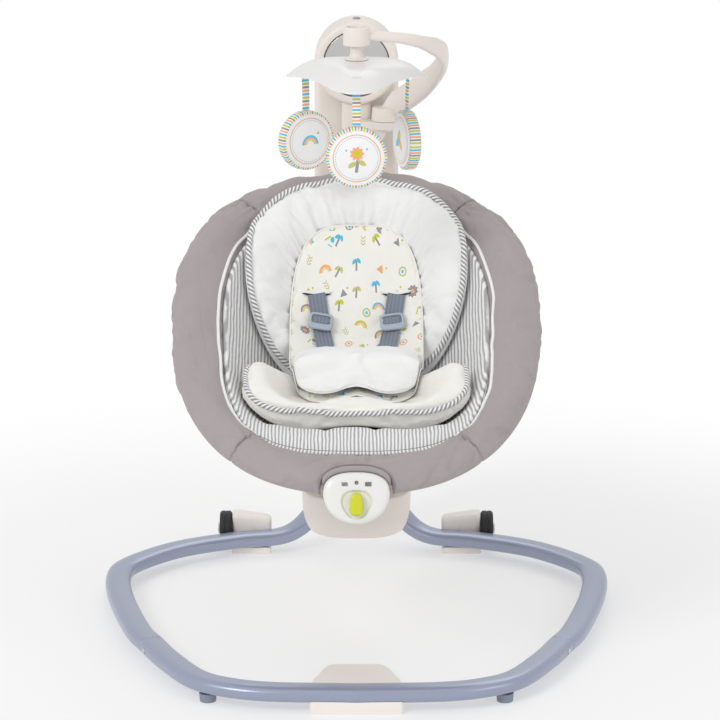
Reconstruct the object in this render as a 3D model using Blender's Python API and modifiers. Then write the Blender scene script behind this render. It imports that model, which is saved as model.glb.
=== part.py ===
# Electric baby swing: a floor loop with a post behind the seat, an arm that swings
# side to side from the post's head, a padded seat on the arm's dock, and a mobile.
# Units are metres, +Z is up, the front faces -Y, and the origin is on the floor
# under the middle of the whole object.

import math

import bmesh
import bpy
from mathutils import Matrix, Vector

# Clearances
GAP = 0.0003
PAD_GAP = 0.0031
CUSHION_GAP = 0.0029

# Floor loop
LOOP_HALF_WIDTH = 0.340
LOOP_FRONT_Y = -0.361
LOOP_REAR_Y = 0.280
TUBE_WIDTH = 0.036
TUBE_HEIGHT = 0.0215
TUBE_AXIS_Z = 0.0225
TUBE_WALL = 0.0020
# The loop's route as shares of its half width and of its length, from the front middle
LOOP_ROUTE = (
    (0.0, 0.0),
    (0.32353, 0.00780),
    (0.50000, 0.03432),
    (0.62059, 0.08268),
    (0.73824, 0.19189),
    (0.80882, 0.27769),
    (0.87647, 0.36505),
    (0.96765, 0.56162),
    (1.0, 0.70983),
    (0.95588, 0.79719),
    (0.77059, 0.90640),
    (0.51765, 0.97504),
    (0.34706, 1.0),
)
# The tails' rise into the post's foot: shares of the half width, the reach and the rise
TAIL_ROUTE = (
    (0.25882, 0.23077, 0.14063),
    (0.18824, 0.50000, 0.45313),
    (0.12941, 0.76923, 0.75000),
    (0.08235, 1.0, 1.0),
)
TAIL_REACH = 0.052
TAIL_RISE = 0.064
SNAP_BUTTON_RADIUS = 0.0040
SNAP_BUTTON_PROUD = 0.0012
SNAP_BUTTON_TRAVEL = 0.0025
SNAP_BUTTON_ROOT = 0.0040

# Front shoe and feet
SHOE_HALF_WIDTH = 0.060
SHOE_REACH = 0.085
SHOE_THICKNESS = 0.0105
SADDLE_TOP_Z = 0.0165
FOOT_RADIUS = 0.0115
FOOT_X = 0.193
FOOT_Y = -0.329

# Transport wheels
WHEEL_RADIUS = 0.0255
WHEEL_WIDTH = 0.018
WHEEL_X = 0.195
WHEEL_Y = 0.3035
WHEEL_Z = 0.0290
AXLE_RADIUS = 0.0040
AXLE_HEAD_RADIUS = 0.0085
AXLE_DEPTH = 0.026
HOUSING_LENGTH = 0.058
HOUSING_FOOT_HEIGHT = 0.0110

# Post
POST_HALF_WIDTH = 0.0605
POST_HALF_WIDTH_LOW = 0.0460
POST_FRONT_Y = 0.300
POST_PARTING_Y = 0.342
POST_REAR_Y = 0.3785
POST_WALL = 0.0030
POST_FOOT_TOP_Z = 0.150
POST_FOOT_BOTTOM_Z = 0.046
HEAD_Z = 0.731
BOARD_SIZE = (0.064, 0.0016, 0.090)
BOARD_Z = 0.560
COIL_SIZE = (0.034, 0.054, 0.024)
COIL_Z = 0.632
SPEAKER_RADIUS = 0.025
SPEAKER_Z = 0.570
DOOR_SIZE = (0.060, 0.0040, 0.120)
DOOR_Z = 0.330
INLET_RADIUS = 0.0060
INLET_Z = 0.205

# Head and pivot
PIVOT_Z = 0.735
RING_RADIUS = 0.0590
RING_FRONT_Y = 0.268
GLASS_RADIUS = 0.0475
SHAFT_RADIUS = 0.0075
BEARING_RADIUS = 0.0140
BEARING_LENGTH = 0.0220
TOP_BUTTON_RADIUS = 0.0055
LEVER_RADIUS = 0.013
LEVER_LENGTH = 0.078

# Swing arm and dock
ARM_WIDTH = 0.042
ARM_THICKNESS = 0.020
ARM_Y = 0.2855
ARM_HEAD_RADIUS = 0.0300
ARM_SWING = 12.0
DOCK_X_RADIUS = 0.075
DOCK_Y_RADIUS = 0.072
DOCK_BOTTOM_Z = 0.136
DOCK_TOP_Z = 0.198
DOCK_Y = -0.020
EAR_THICKNESS = 0.012
EAR_RADIUS = 0.022

# Seat
SEAT_Y = -0.050
SEAT_Z = 0.4315
SEAT_TILT = 27.7
RIM_HALF_WIDTH = 0.2140
RIM_HALF_LENGTH = 0.2825
RIM_SQUARENESS = 2.5
RIM_EGG = 0.045
ROLL_HALF_WIDTH = 0.0345
ROLL_HALF_HEIGHT = 0.0195
RING_TUBE_RADIUS = 0.0110
RING_SLOT_RADIUS = 0.0118
LINER_DEPTH = 0.140
LINER_THICKNESS = 0.0035
WELL_SQUARENESS = 2.6
WELL_FRONT_SQUARENESS = 3.5
WELL_STEEPNESS = 1.15
FRONT_SHELF = 1.09
FRAME_TUBE_RADIUS = 0.0085
RECLINE_Z = 0.2240
RECLINE_AXLE_RADIUS = 0.0050
HUB_HALF_WIDTH = 0.040
HUB_HALF_LENGTH = 0.032
HUB_SIDE_GAP = 0.0006
FRONT_HOOP_V = -0.125
REAR_HOOP_V = 0.105
HOOP_REST_GAP = 0.0009
HOOP_CLEARANCE = 0.0065

# Seat padding, measured in the plane of the rim
SUPPORT_V = 0.1340
SUPPORT_HALF_WIDTH = 0.1540
SUPPORT_HALF_LENGTH = 0.1280
SUPPORT_THICKNESS = 0.047
SUPPORT_RECESS = 0.56
SUPPORT_SQUARENESS = 2.3
CUSHION_V = -0.0810
CUSHION_HALF_WIDTH = 0.1520
CUSHION_HALF_LENGTH = 0.0850
CUSHION_THICKNESS = 0.048
CUSHION_SQUARENESS = 2.6
CUSHION_FRONT_SQUARENESS = 3.5
CUSHION_BROW = -0.0040
PAD_V = 0.0640
PAD_HALF_WIDTH = 0.0920
PAD_HALF_LENGTH = 0.1400
PAD_THICKNESS = 0.0070
PAD_LIFT = 0.0045
PAD_STEP_V = 0.024
PAD_STEP_RUN = 0.009
CROTCH_V = -0.0220
CROTCH_HALF_WIDTH = 0.0850
CROTCH_HALF_LENGTH = 0.0500
CROTCH_THICKNESS = 0.0110
CROTCH_LIFT = 0.0072
CROTCH_ARCH = 0.0128
STRAP_WIDTH = 0.0250
STRAP_THICKNESS = 0.0020
STRAP_LIFT = 0.0029
STRAP_STATIONS = 13
STRAP_TOP = (0.0555, 0.1240)
STRAP_FOOT = (0.0380, 0.0180)
SLIDER_SIZE = (0.034, 0.025, 0.0052)
WAIST_REACH = 0.080
WAIST_V = -0.044
WAIST_LIFT = 0.0023
BUCKLE_V = -0.026
BUCKLE_WIDTH = 0.046
BUCKLE_LENGTH = 0.036
BUCKLE_THICKNESS = 0.0090
BUCKLE_LIFT = 0.0030
BUCKLE_BUTTON_RADIUS = 0.0090
BUCKLE_BUTTON_DEPTH = 0.0065
BUCKLE_BUTTON_TRAVEL = 0.0015

# Vibration unit
UNIT_HALF_WIDTH = 0.0425
UNIT_HEIGHT = 0.066
UNIT_REACH = 0.0519
UNIT_DROP = 0.0172
UNIT_TILT = 17.0
KNOB_RECESS_RADIUS = 0.0210
KNOB_LENGTH = 0.029
KNOB_WIDTH = 0.017
KNOB_DROP = 0.0080
RECESS_DEPTH = 0.0036
MOTOR_RADIUS = 0.0112
MOTOR_LENGTH = 0.016
MOTOR_DROP = 0.012
MOTOR_DEPTH = 0.030

# Mobile
HINGE_X = 0.0410
HINGE_Y = 0.2640
SHELF_TOP_Z = 0.6540
SHELF_THICKNESS = 0.0110
HINGE_BOSS_RADIUS = 0.0200
HINGE_PIN_RADIUS = 0.0050
PIN_HEAD_RADIUS = 0.0080
PIN_HEAD_HEIGHT = 0.0040
BOSS_HEIGHT = 0.0200
MOBILE_Y = 0.0300
CUP_RADIUS = 0.0180
CUP_HEIGHT = 0.0250
NECK_HEIGHT = 0.0195
CUP_WELL_RADIUS = 0.0120
SPINDLE_RADIUS = 0.0045
SPINDLE_HEAD_RADIUS = 0.0090
CANOPY_RADIUS = 0.1000
CANOPY_TOP_Z = 0.7810
CANOPY_RIM_Z = 0.7530
CANOPY_THICKNESS = 0.0022
RIBBON_REACH = 0.0800
RIBBON_WIDTH = 0.0110
RIBBON_THICKNESS = 0.0016
RIBBON_LENGTH = 0.0520
TOY_RADIUS = 0.0410
TOY_THICKNESS = 0.0240
CUP_TOP_Z = CANOPY_TOP_Z + NECK_HEIGHT + CUP_HEIGHT


# Scene and materials

def clear_scene():
    for thing in list(bpy.data.objects):
        bpy.data.objects.remove(thing, do_unlink=True)


def new_collection(name):
    group = bpy.data.collections.new(name)
    bpy.context.scene.collection.children.link(group)
    return group


def new_material(name, colour, roughness, metallic=0.0):
    finish = bpy.data.materials.new(name)
    finish.use_nodes = True
    shader = finish.node_tree.nodes["Principled BSDF"]
    shader.inputs["Base Color"].default_value = (*colour, 1.0)
    shader.inputs["Roughness"].default_value = roughness
    shader.inputs["Metallic"].default_value = metallic
    finish.diffuse_color = (*colour, 1.0)
    return finish


clear_scene()
PARTS = new_collection("electric_baby_swing")
CUTTERS = new_collection("cutters_and_guides")
FINISH = {
    "tube": new_material("tube", (0.36, 0.40, 0.46), 0.35, 0.3),
    "beige": new_material("beige", (0.78, 0.73, 0.68), 0.45),
    "white": new_material("white", (0.86, 0.86, 0.85), 0.40),
    "black": new_material("black", (0.03, 0.03, 0.03), 0.60),
    "steel": new_material("steel", (0.60, 0.60, 0.60), 0.30, 1.0),
    "glass": new_material("glass", (0.45, 0.45, 0.45), 0.10),
    "grey": new_material("grey", (0.35, 0.36, 0.38), 0.50),
    "taupe": new_material("taupe", (0.40, 0.35, 0.36), 0.85),
    "stripe": new_material("stripe", (0.70, 0.72, 0.74), 0.90),
    "cream": new_material("cream", (0.90, 0.88, 0.83), 0.90),
    "webbing": new_material("webbing", (0.28, 0.32, 0.38), 0.80),
    "lime": new_material("lime", (0.60, 0.65, 0.02), 0.40),
    "green": new_material("green", (0.02, 0.20, 0.06), 0.50),
    "toy": new_material("toy", (0.70, 0.82, 0.80), 0.90),
}


# Building helpers

def add_object(name, mesh, finish, parent=None, smooth=True):
    thing = bpy.data.objects.new(name, mesh)
    PARTS.objects.link(thing)
    if not mesh.materials:
        mesh.materials.append(FINISH[finish])
    if smooth:
        mesh.shade_smooth()
        mesh.set_sharp_from_angle(angle=math.radians(35.0))
    if parent is not None:
        thing.parent = parent
        thing.matrix_parent_inverse = parent.matrix_world.inverted()
    return thing


def as_cutter(thing):
    PARTS.objects.unlink(thing)
    CUTTERS.objects.link(thing)
    thing.hide_render = True
    thing.display_type = "WIRE"
    return thing


def boolean(thing, other, operation="DIFFERENCE"):
    step = thing.modifiers.new(operation.lower(), "BOOLEAN")
    step.operation = operation
    step.solver = "EXACT"
    step.object = other
    return thing


def pivot(name, place, parent=None):
    empty = bpy.data.objects.new(name, None)
    PARTS.objects.link(empty)
    empty.empty_display_size = 0.03
    if parent is not None:
        empty.parent = parent
        empty.matrix_parent_inverse = parent.matrix_world.inverted()
    empty.location = place
    bpy.context.view_layer.update()
    return empty


def mesh_from(name, build):
    mesh = bpy.data.meshes.new(name)
    shape = bmesh.new()
    build(shape)
    bmesh.ops.recalc_face_normals(shape, faces=shape.faces)
    shape.to_mesh(mesh)
    shape.free()
    return mesh


def loft_mesh(name, rings, ends=True, around=False):
    """A skin through rings of equally many points, capped at its ends unless it goes around."""

    def build(shape):
        loops = [[shape.verts.new(point) for point in ring] for ring in rings]
        pairs = list(zip(loops, loops[1:]))
        if around:
            pairs.append((loops[-1], loops[0]))
        for first, second in pairs:
            count = len(first)
            for i in range(count):
                j = (i + 1) % count
                shape.faces.new((first[i], first[j], second[j], second[i]))
        if ends and not around:
            shape.faces.new(loops[0])
            shape.faces.new(loops[-1])

    return mesh_from(name, build)


def cylinder_mesh(name, radius, length, sides=20, top_radius=None):
    def build(shape):
        bmesh.ops.create_cone(
            shape,
            cap_ends=True,
            segments=sides,
            radius1=radius,
            radius2=radius if top_radius is None else top_radius,
            depth=length,
        )

    return mesh_from(name, build)


def placed(mesh, matrix):
    mesh.transform(matrix)
    return mesh


def turn(axis):
    """A rotation that takes +Z to the axis."""
    return Vector(axis).to_track_quat("Z", "Y").to_matrix().to_4x4()


def rod(name, start, end, radius, finish, parent=None, sides=20, top_radius=None):
    """A straight round bar from start to end."""
    start, end = Vector(start), Vector(end)
    run = end - start
    mesh = cylinder_mesh(name, radius, run.length, sides, top_radius)
    placed(mesh, Matrix.Translation((start + end) / 2) @ turn(run))
    return add_object(name, mesh, finish, parent)


def block(name, size, centre, finish, parent=None, bevel=0.0, segments=2, frame=None):
    """A box with rounded edges, upright or in the given frame."""

    def build(shape):
        bmesh.ops.create_cube(shape, size=1.0)
        bmesh.ops.scale(shape, vec=Vector(size), verts=shape.verts)
        if bevel:
            bmesh.ops.bevel(
                shape,
                geom=list(shape.edges),
                offset=bevel,
                segments=segments,
                profile=0.5,
                affect="EDGES",
            )

    mesh = mesh_from(name, build)
    matrix = Matrix.Translation(centre)
    if frame is not None:
        matrix = frame @ matrix
    placed(mesh, matrix)
    return add_object(name, mesh, finish, parent)


def turned(name, profile, matrix, finish, parent=None, steps=28):
    """A turned piece: the profile of (radius, height) runs from the axis, down the outside, to the axis."""
    mesh = bpy.data.meshes.new(name)
    shape = bmesh.new()
    points = [shape.verts.new((radius, 0.0, height)) for radius, height in profile]
    for first, second in zip(points, points[1:]):
        shape.edges.new((first, second))
    shape.to_mesh(mesh)
    shape.free()
    thing = bpy.data.objects.new(name + "_profile", mesh)
    CUTTERS.objects.link(thing)
    screw = thing.modifiers.new("turn", "SCREW")
    screw.axis = "Z"
    screw.angle = 2 * math.pi
    screw.steps = steps
    screw.render_steps = steps
    screw.use_merge_vertices = True
    screw.merge_threshold = 0.00001
    screw.use_normal_calculate = True
    solid = solid_from(thing)
    placed(solid, matrix)
    return add_object(name, solid, finish, parent)


def solid_from(thing):
    """The evaluated mesh of a helper object, welded and facing out. The helper is removed."""
    bpy.context.view_layer.update()
    graph = bpy.context.evaluated_depsgraph_get()
    mesh = bpy.data.meshes.new_from_object(thing.evaluated_get(graph))
    mesh.transform(thing.matrix_world)
    mesh.materials.clear()
    shape = bmesh.new()
    shape.from_mesh(mesh)
    bmesh.ops.remove_doubles(shape, verts=shape.verts, dist=0.000005)
    bmesh.ops.recalc_face_normals(shape, faces=shape.faces)
    shape.to_mesh(mesh)
    shape.free()
    bpy.data.objects.remove(thing, do_unlink=True)
    return mesh


def round_tube(name, points, radius, finish, parent=None, closed=False, resolution=2):
    """A round tube through the points."""
    curve = bpy.data.curves.new(name, "CURVE")
    curve.dimensions = "3D"
    curve.bevel_depth = radius
    curve.bevel_resolution = resolution
    curve.use_fill_caps = True
    spline = curve.splines.new("POLY")
    spline.points.add(len(points) - 1)
    for node, point in zip(spline.points, points):
        node.co = (*point, 1.0)
    spline.use_cyclic_u = closed
    thing = bpy.data.objects.new(name + "_curve", curve)
    CUTTERS.objects.link(thing)
    return add_object(name, solid_from(thing), finish, parent)


def smooth_path(points, steps):
    """Points along a Catmull-Rom curve through the given points."""
    spots = [Vector(p) for p in points]
    spots = [2 * spots[0] - spots[1]] + spots + [2 * spots[-1] - spots[-2]]
    found = []
    for a, b, c, d in zip(spots, spots[1:], spots[2:], spots[3:]):
        for i in range(steps):
            t = i / steps
            found.append(
                0.5
                * (
                    2 * b
                    + (c - a) * t
                    + (2 * a - 5 * b + 4 * c - d) * t**2
                    + (3 * b - a - 3 * c + d) * t**3
                )
            )
    found.append(spots[-2])
    return found


def superellipse(half_width, half_height, power, sides, start=0.0):
    """Points of a rounded rectangle or oval, anticlockwise."""
    points = []
    for i in range(sides):
        angle = start + 2 * math.pi * i / sides
        c, s = math.cos(angle), math.sin(angle)
        points.append(
            (
                half_width * math.copysign(abs(c) ** (2 / power), c),
                half_height * math.copysign(abs(s) ** (2 / power), s),
            )
        )
    return points


def sweep_rings(path, section_at, up=(0.0, 0.0, 1.0)):
    """Rings of a section carried along a path: its first axis lies level, its second points up."""
    rings = []
    last = len(path) - 1
    for i, point in enumerate(path):
        along = (path[min(i + 1, last)] - path[max(i - 1, 0)]).normalized()
        side = along.cross(Vector(up)).normalized()
        rise = side.cross(along).normalized()
        rings.append([point + side * a + rise * b for a, b in section_at(i / last)])
    return rings


# Floor loop

def half_loop_path():
    """The loop's centre line on the +X side, from the front middle to the end in the post's foot."""
    long = LOOP_REAR_Y - LOOP_FRONT_Y
    points = [(LOOP_HALF_WIDTH * x, LOOP_FRONT_Y + long * y, TUBE_AXIS_Z) for x, y in LOOP_ROUTE]
    for x, y, z in TAIL_ROUTE:
        points.append((LOOP_HALF_WIDTH * x, LOOP_REAR_Y + TAIL_REACH * y, TUBE_AXIS_Z + TAIL_RISE * z))
    return smooth_path(points, 3)


LOOP_PATH = half_loop_path()
JOINT_STEP = 15
SPIGOT_STEPS = 2
TAIL_STEP = 21
BEND_STEP = 39


def tube_section(shrink):
    points = superellipse(TUBE_WIDTH / 2 - shrink, TUBE_HEIGHT / 2 - shrink, 2.7, 10, math.pi / 10)
    return lambda share: points


def mirrored(path):
    return [Vector((-p.x, p.y, p.z)) for p in path]


def loop_rings(side, start, end, shrink):
    """Sections of the loop's tube between two steps of its path, on one side."""
    path = mirrored(LOOP_PATH) if side < 0 else LOOP_PATH
    if start == 0:
        path = [Vector((-path[1].x, path[1].y, path[1].z))] + path
        start, end = start + 1, end + 1
    return sweep_rings(path, tube_section(shrink))[start : end + 1]


def moved(ring, step):
    return [point + step for point in ring]


def tube_part(name, rings, finish, parent=None):
    return add_object(name, loft_mesh(name, rings), finish, parent)


def joint_frame(side):
    """At a tube joint: origin on the tube's axis inside the spigot, +Z out through the tube's outer side."""
    path = LOOP_PATH if side > 0 else mirrored(LOOP_PATH)
    inside = path[JOINT_STEP - 1]
    along = (path[JOINT_STEP] - path[JOINT_STEP - 2]).normalized()
    outward = along.cross(Vector((0, 0, 1))).normalized()
    outward *= math.copysign(1.0, outward.x * side)
    return Matrix.Translation(inside) @ turn(outward), outward


def snap_button(name, side, root):
    frame, outward = joint_frame(side)
    top = TUBE_WIDTH / 2 + SNAP_BUTTON_PROUD
    bottom = SNAP_BUTTON_ROOT
    empty = pivot(name + "_slide", frame.translation, root)
    mesh = cylinder_mesh(name, SNAP_BUTTON_RADIUS, top - bottom, 16)
    placed(mesh, frame @ Matrix.Translation((0, 0, (top + bottom) / 2)))
    button = add_object(name, mesh, "steel", empty)
    bevel = button.modifiers.new("edge", "BEVEL")
    bevel.width = 0.0006
    bevel.segments = 1
    hole_top = top + 0.010
    hole_bottom = bottom - SNAP_BUTTON_TRAVEL - GAP
    hole = cylinder_mesh(name + "_hole", SNAP_BUTTON_RADIUS + GAP, hole_top - hole_bottom, 16)
    placed(hole, frame @ Matrix.Translation((0, 0, (hole_top + hole_bottom) / 2)))
    return as_cutter(add_object(name + "_hole", hole, "steel"))


def build_loop(root):
    """A front tube and two rear tubes, whose spigots plug into the front one and hold by snap buttons."""
    left_rings = loop_rings(-1, 1, JOINT_STEP, 0.0)
    right_rings = loop_rings(1, 0, JOINT_STEP, 0.0)
    count = len(left_rings[0])
    flipped = [[ring[(count // 2 - 1 - i) % count] for i in range(count)] for ring in left_rings]
    front = tube_part("front_base_tube", flipped[::-1] + right_rings, "tube", root)
    last = len(LOOP_PATH) - 1
    for side, name in ((1, "right"), (-1, "left")):
        path = LOOP_PATH if side > 0 else mirrored(LOOP_PATH)
        along = (path[JOINT_STEP + 1] - path[JOINT_STEP]).normalized()
        rings = loop_rings(side, JOINT_STEP, last, 0.0)
        rings[0] = moved(rings[0], along * GAP)
        tube = tube_part(name + "_rear_tube", rings[:TAIL_STEP] + rings[TAIL_STEP::2], "tube", root)
        plug = loop_rings(side, JOINT_STEP - SPIGOT_STEPS, JOINT_STEP + 1, TUBE_WALL + GAP)
        boolean(tube, as_cutter(tube_part(name + "_spigot", plug, "tube")), "UNION")
        pocket = loop_rings(side, JOINT_STEP - SPIGOT_STEPS, JOINT_STEP + 1, TUBE_WALL)
        pocket[0] = moved(pocket[0], along * -0.002)
        boolean(front, as_cutter(tube_part(name + "_pocket", pocket, "tube")))
        hole = snap_button(name + "_snap_button", side, root)
        boolean(front, hole)
        boolean(tube, hole)


def build_shoe(root):
    """The shoe under the front bar: a plate on the floor with a saddle that the tube rests in."""
    front = LOOP_FRONT_Y - TUBE_WIDTH / 2 + 0.001
    back = front + SHOE_REACH
    outline = [
        (-SHOE_HALF_WIDTH, front + 0.004),
        (-SHOE_HALF_WIDTH + 0.004, front),
        (SHOE_HALF_WIDTH - 0.004, front),
        (SHOE_HALF_WIDTH, front + 0.004),
        (SHOE_HALF_WIDTH - 0.004, back - 0.042),
        (SHOE_HALF_WIDTH - 0.020, back - 0.010),
        (SHOE_HALF_WIDTH - 0.032, back),
        (-SHOE_HALF_WIDTH + 0.032, back),
        (-SHOE_HALF_WIDTH + 0.020, back - 0.010),
        (-SHOE_HALF_WIDTH + 0.004, back - 0.042),
    ]
    rings = [
        [Vector((x * 0.97, y, 0.0)) for x, y in outline],
        [Vector((x, y, 0.002)) for x, y in outline],
        [Vector((x, y, SADDLE_TOP_Z if y < back - 0.02 else SHOE_THICKNESS)) for x, y in outline],
    ]
    plate = add_object("front_shoe", loft_mesh("front_shoe", rings), "beige", root)
    for side in (-1, 1):
        rings = loop_rings(side, 0, 4, -GAP)
        rings[0] = moved(rings[0], Vector((-side * 0.002, 0, 0)))
        boolean(plate, as_cutter(tube_part("shoe_saddle", rings, "tube")))
    for side, name in ((-1, "left"), (1, "right")):
        top_z = TUBE_AXIS_Z - TUBE_HEIGHT / 2 - GAP
        rod(
            name + "_front_foot",
            (side * FOOT_X, FOOT_Y, 0),
            (side * FOOT_X, FOOT_Y, top_z),
            FOOT_RADIUS * 0.92,
            "tube",
            root,
            20,
            FOOT_RADIUS,
        )


def build_wheels(root):
    """Behind each rear tube: a tapered housing on a foot under the tube, an axle, and a wheel."""
    for side, name in ((-1, "left"), (1, "right")):
        outer = WHEEL_X - WHEEL_WIDTH / 2 - 0.0008
        inner = outer - HOUSING_LENGTH
        rings = []
        for x, rear, low, high in (
            (outer, WHEEL_Y + 0.0235, 0.0, WHEEL_Z + 0.0235),
            (outer - 0.003, WHEEL_Y + 0.0245, 0.0, WHEEL_Z + 0.0245),
            (inner + 0.012, WHEEL_Y + 0.019, 0.0, WHEEL_Z + 0.0205),
            (inner + 0.002, WHEEL_Y + 0.013, 0.0, WHEEL_Z + 0.0175),
            (inner, WHEEL_Y + 0.009, 0.0, WHEEL_Z + 0.0145),
        ):
            front = WHEEL_Y - 0.040
            step_y = WHEEL_Y - 0.0135
            step_z = HOUSING_FOOT_HEIGHT
            ring = [
                (front, low),
                (rear - 0.004, low),
                (rear, low + 0.004),
                (rear, high - 0.009),
                (rear - 0.008, high),
                (step_y + 0.004, high),
                (step_y, high - 0.004),
                (step_y, step_z),
                (front, step_z),
            ]
            rings.append([Vector((side * x, y, z)) for y, z in ring])
        housing = add_object(name + "_wheel_housing", loft_mesh(name, rings), "beige", root)
        tube = tube_part(name + "_tube_clear", loop_rings(side, JOINT_STEP + 4, BEND_STEP, -GAP), "tube")
        boolean(housing, as_cutter(tube))
        head = side * (WHEEL_X + WHEEL_WIDTH / 2 + 0.0004)
        end = side * (outer - AXLE_DEPTH)
        axle = rod(
            name + "_wheel_axle",
            (head + side * 0.0016, WHEEL_Y, WHEEL_Z),
            (end, WHEEL_Y, WHEEL_Z),
            AXLE_RADIUS,
            "steel",
            root,
            20,
        )
        cap = rod(
            name + "_axle_head",
            (head + side * 0.0022, WHEEL_Y, WHEEL_Z),
            (head, WHEEL_Y, WHEEL_Z),
            AXLE_HEAD_RADIUS,
            "steel",
        )
        boolean(axle, as_cutter(cap), "UNION")
        bore = rod(
            name + "_axle_bore",
            (side * (outer + 0.01), WHEEL_Y, WHEEL_Z),
            (end - side * GAP, WHEEL_Y, WHEEL_Z),
            AXLE_RADIUS + GAP,
            "steel",
        )
        boolean(housing, as_cutter(bore))
        empty = pivot(name + "_wheel_spin", (side * WHEEL_X, WHEEL_Y, WHEEL_Z), root)
        half = WHEEL_WIDTH / 2
        profile = [
            (AXLE_RADIUS + GAP, half - 0.004),
            (AXLE_HEAD_RADIUS + 0.001, half - 0.004),
            (AXLE_HEAD_RADIUS + 0.002, half - 0.0005),
            (WHEEL_RADIUS - 0.0035, half),
            (WHEEL_RADIUS, half - 0.0035),
            (WHEEL_RADIUS, -half + 0.0035),
            (WHEEL_RADIUS - 0.0035, -half),
            (AXLE_RADIUS + GAP, -half),
            (AXLE_RADIUS + GAP, half - 0.004),
        ]
        place = Matrix.Translation((side * WHEEL_X, WHEEL_Y, WHEEL_Z)) @ turn((side, 0, 0))
        turned(name + "_wheel", profile, place, "black", empty, 24)


# Post

def post_outline(inset):
    """The post's outline seen from the front: tapered sides under a half-round top."""
    wide = POST_HALF_WIDTH - inset
    low = POST_HALF_WIDTH_LOW - inset
    bottom = POST_FOOT_TOP_Z + GAP + inset
    right = [(low, bottom), (low + 0.002, 0.24), (wide - 0.003, 0.40), (wide, 0.52), (wide, HEAD_Z)]
    arc = []
    for i in range(1, 12):
        angle = math.pi * i / 12
        arc.append((wide * math.cos(angle), HEAD_Z + wide * math.sin(angle)))
    left = [(-x, z) for x, z in reversed(right)]
    return right + arc + left


def post_half(name, stations, root):
    """Half of the post as an open skin from the parting face to the outer face, given a wall by Solidify."""
    rings = [[Vector((x, y, z)) for x, z in post_outline(inset)] for y, inset in stations]

    def build(shape):
        loops = [[shape.verts.new(point) for point in ring] for ring in rings]
        for first, second in zip(loops, loops[1:]):
            count = len(first)
            for i in range(count):
                j = (i + 1) % count
                shape.faces.new((first[i], first[j], second[j], second[i]))
        shape.faces.new(loops[-1])

    shell = add_object(name, mesh_from(name, build), "beige", root)
    wall = shell.modifiers.new("wall", "SOLIDIFY")
    wall.thickness = POST_WALL
    wall.offset = -1.0
    wall.use_even_offset = True
    return shell


def build_post(root):
    """Foot, two shells, and what they hold: bearing, drive coil, board, speaker, battery door, inlet."""
    front = post_half(
        "post_front_shell",
        [
            (POST_PARTING_Y - GAP / 2, 0.0),
            (POST_FRONT_Y + 0.010, 0.0),
            (POST_FRONT_Y + 0.003, 0.003),
            (POST_FRONT_Y, 0.009),
        ],
        root,
    )
    rear = post_half(
        "post_rear_shell",
        [
            (POST_PARTING_Y + GAP / 2, 0.0),
            (POST_REAR_Y - 0.018, 0.0005),
            (POST_REAR_Y - 0.006, 0.006),
            (POST_REAR_Y, 0.017),
        ],
        root,
    )
    seat = rod("bearing_seat", (0, 0.28, PIVOT_Z), (0, 0.32, PIVOT_Z), BEARING_RADIUS + GAP, "steel")
    boolean(front, as_cutter(seat))
    build_foot(root)
    build_inside(front, rear, root)


def build_foot(root):
    """The foot carries the post on the ends of the two rear tubes."""
    low, high = POST_FOOT_BOTTOM_Z, POST_FOOT_TOP_Z
    middle = (POST_FRONT_Y + POST_REAR_Y) / 2
    half_depth = (POST_REAR_Y - POST_FRONT_Y) / 2
    rings = []
    for z, wide, deep in (
        (low, 0.030, half_depth - 0.012),
        (low + 0.004, 0.038, half_depth - 0.005),
        (low + 0.030, 0.044, half_depth),
        (high, POST_HALF_WIDTH_LOW, half_depth),
    ):
        rings.append([Vector((x, middle + y, z)) for x, y in superellipse(wide, deep, 3.6, 24)])
    foot = add_object("post_foot", loft_mesh("post_foot", rings), "beige", root)
    last = len(LOOP_PATH) - 1
    for side, name in ((1, "right"), (-1, "left")):
        path = mirrored(LOOP_PATH) if side < 0 else LOOP_PATH
        # The same steps as the rear tube's own mesh, so that the gap is even.
        rings = loop_rings(side, JOINT_STEP, last, -GAP)
        rings = rings[TAIL_STEP - 5 : TAIL_STEP] + rings[TAIL_STEP::2]
        rings[-1] = moved(rings[-1], (path[-1] - path[-2]).normalized() * GAP)
        boolean(foot, as_cutter(tube_part(name + "_foot_socket", rings, "tube")))


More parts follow.
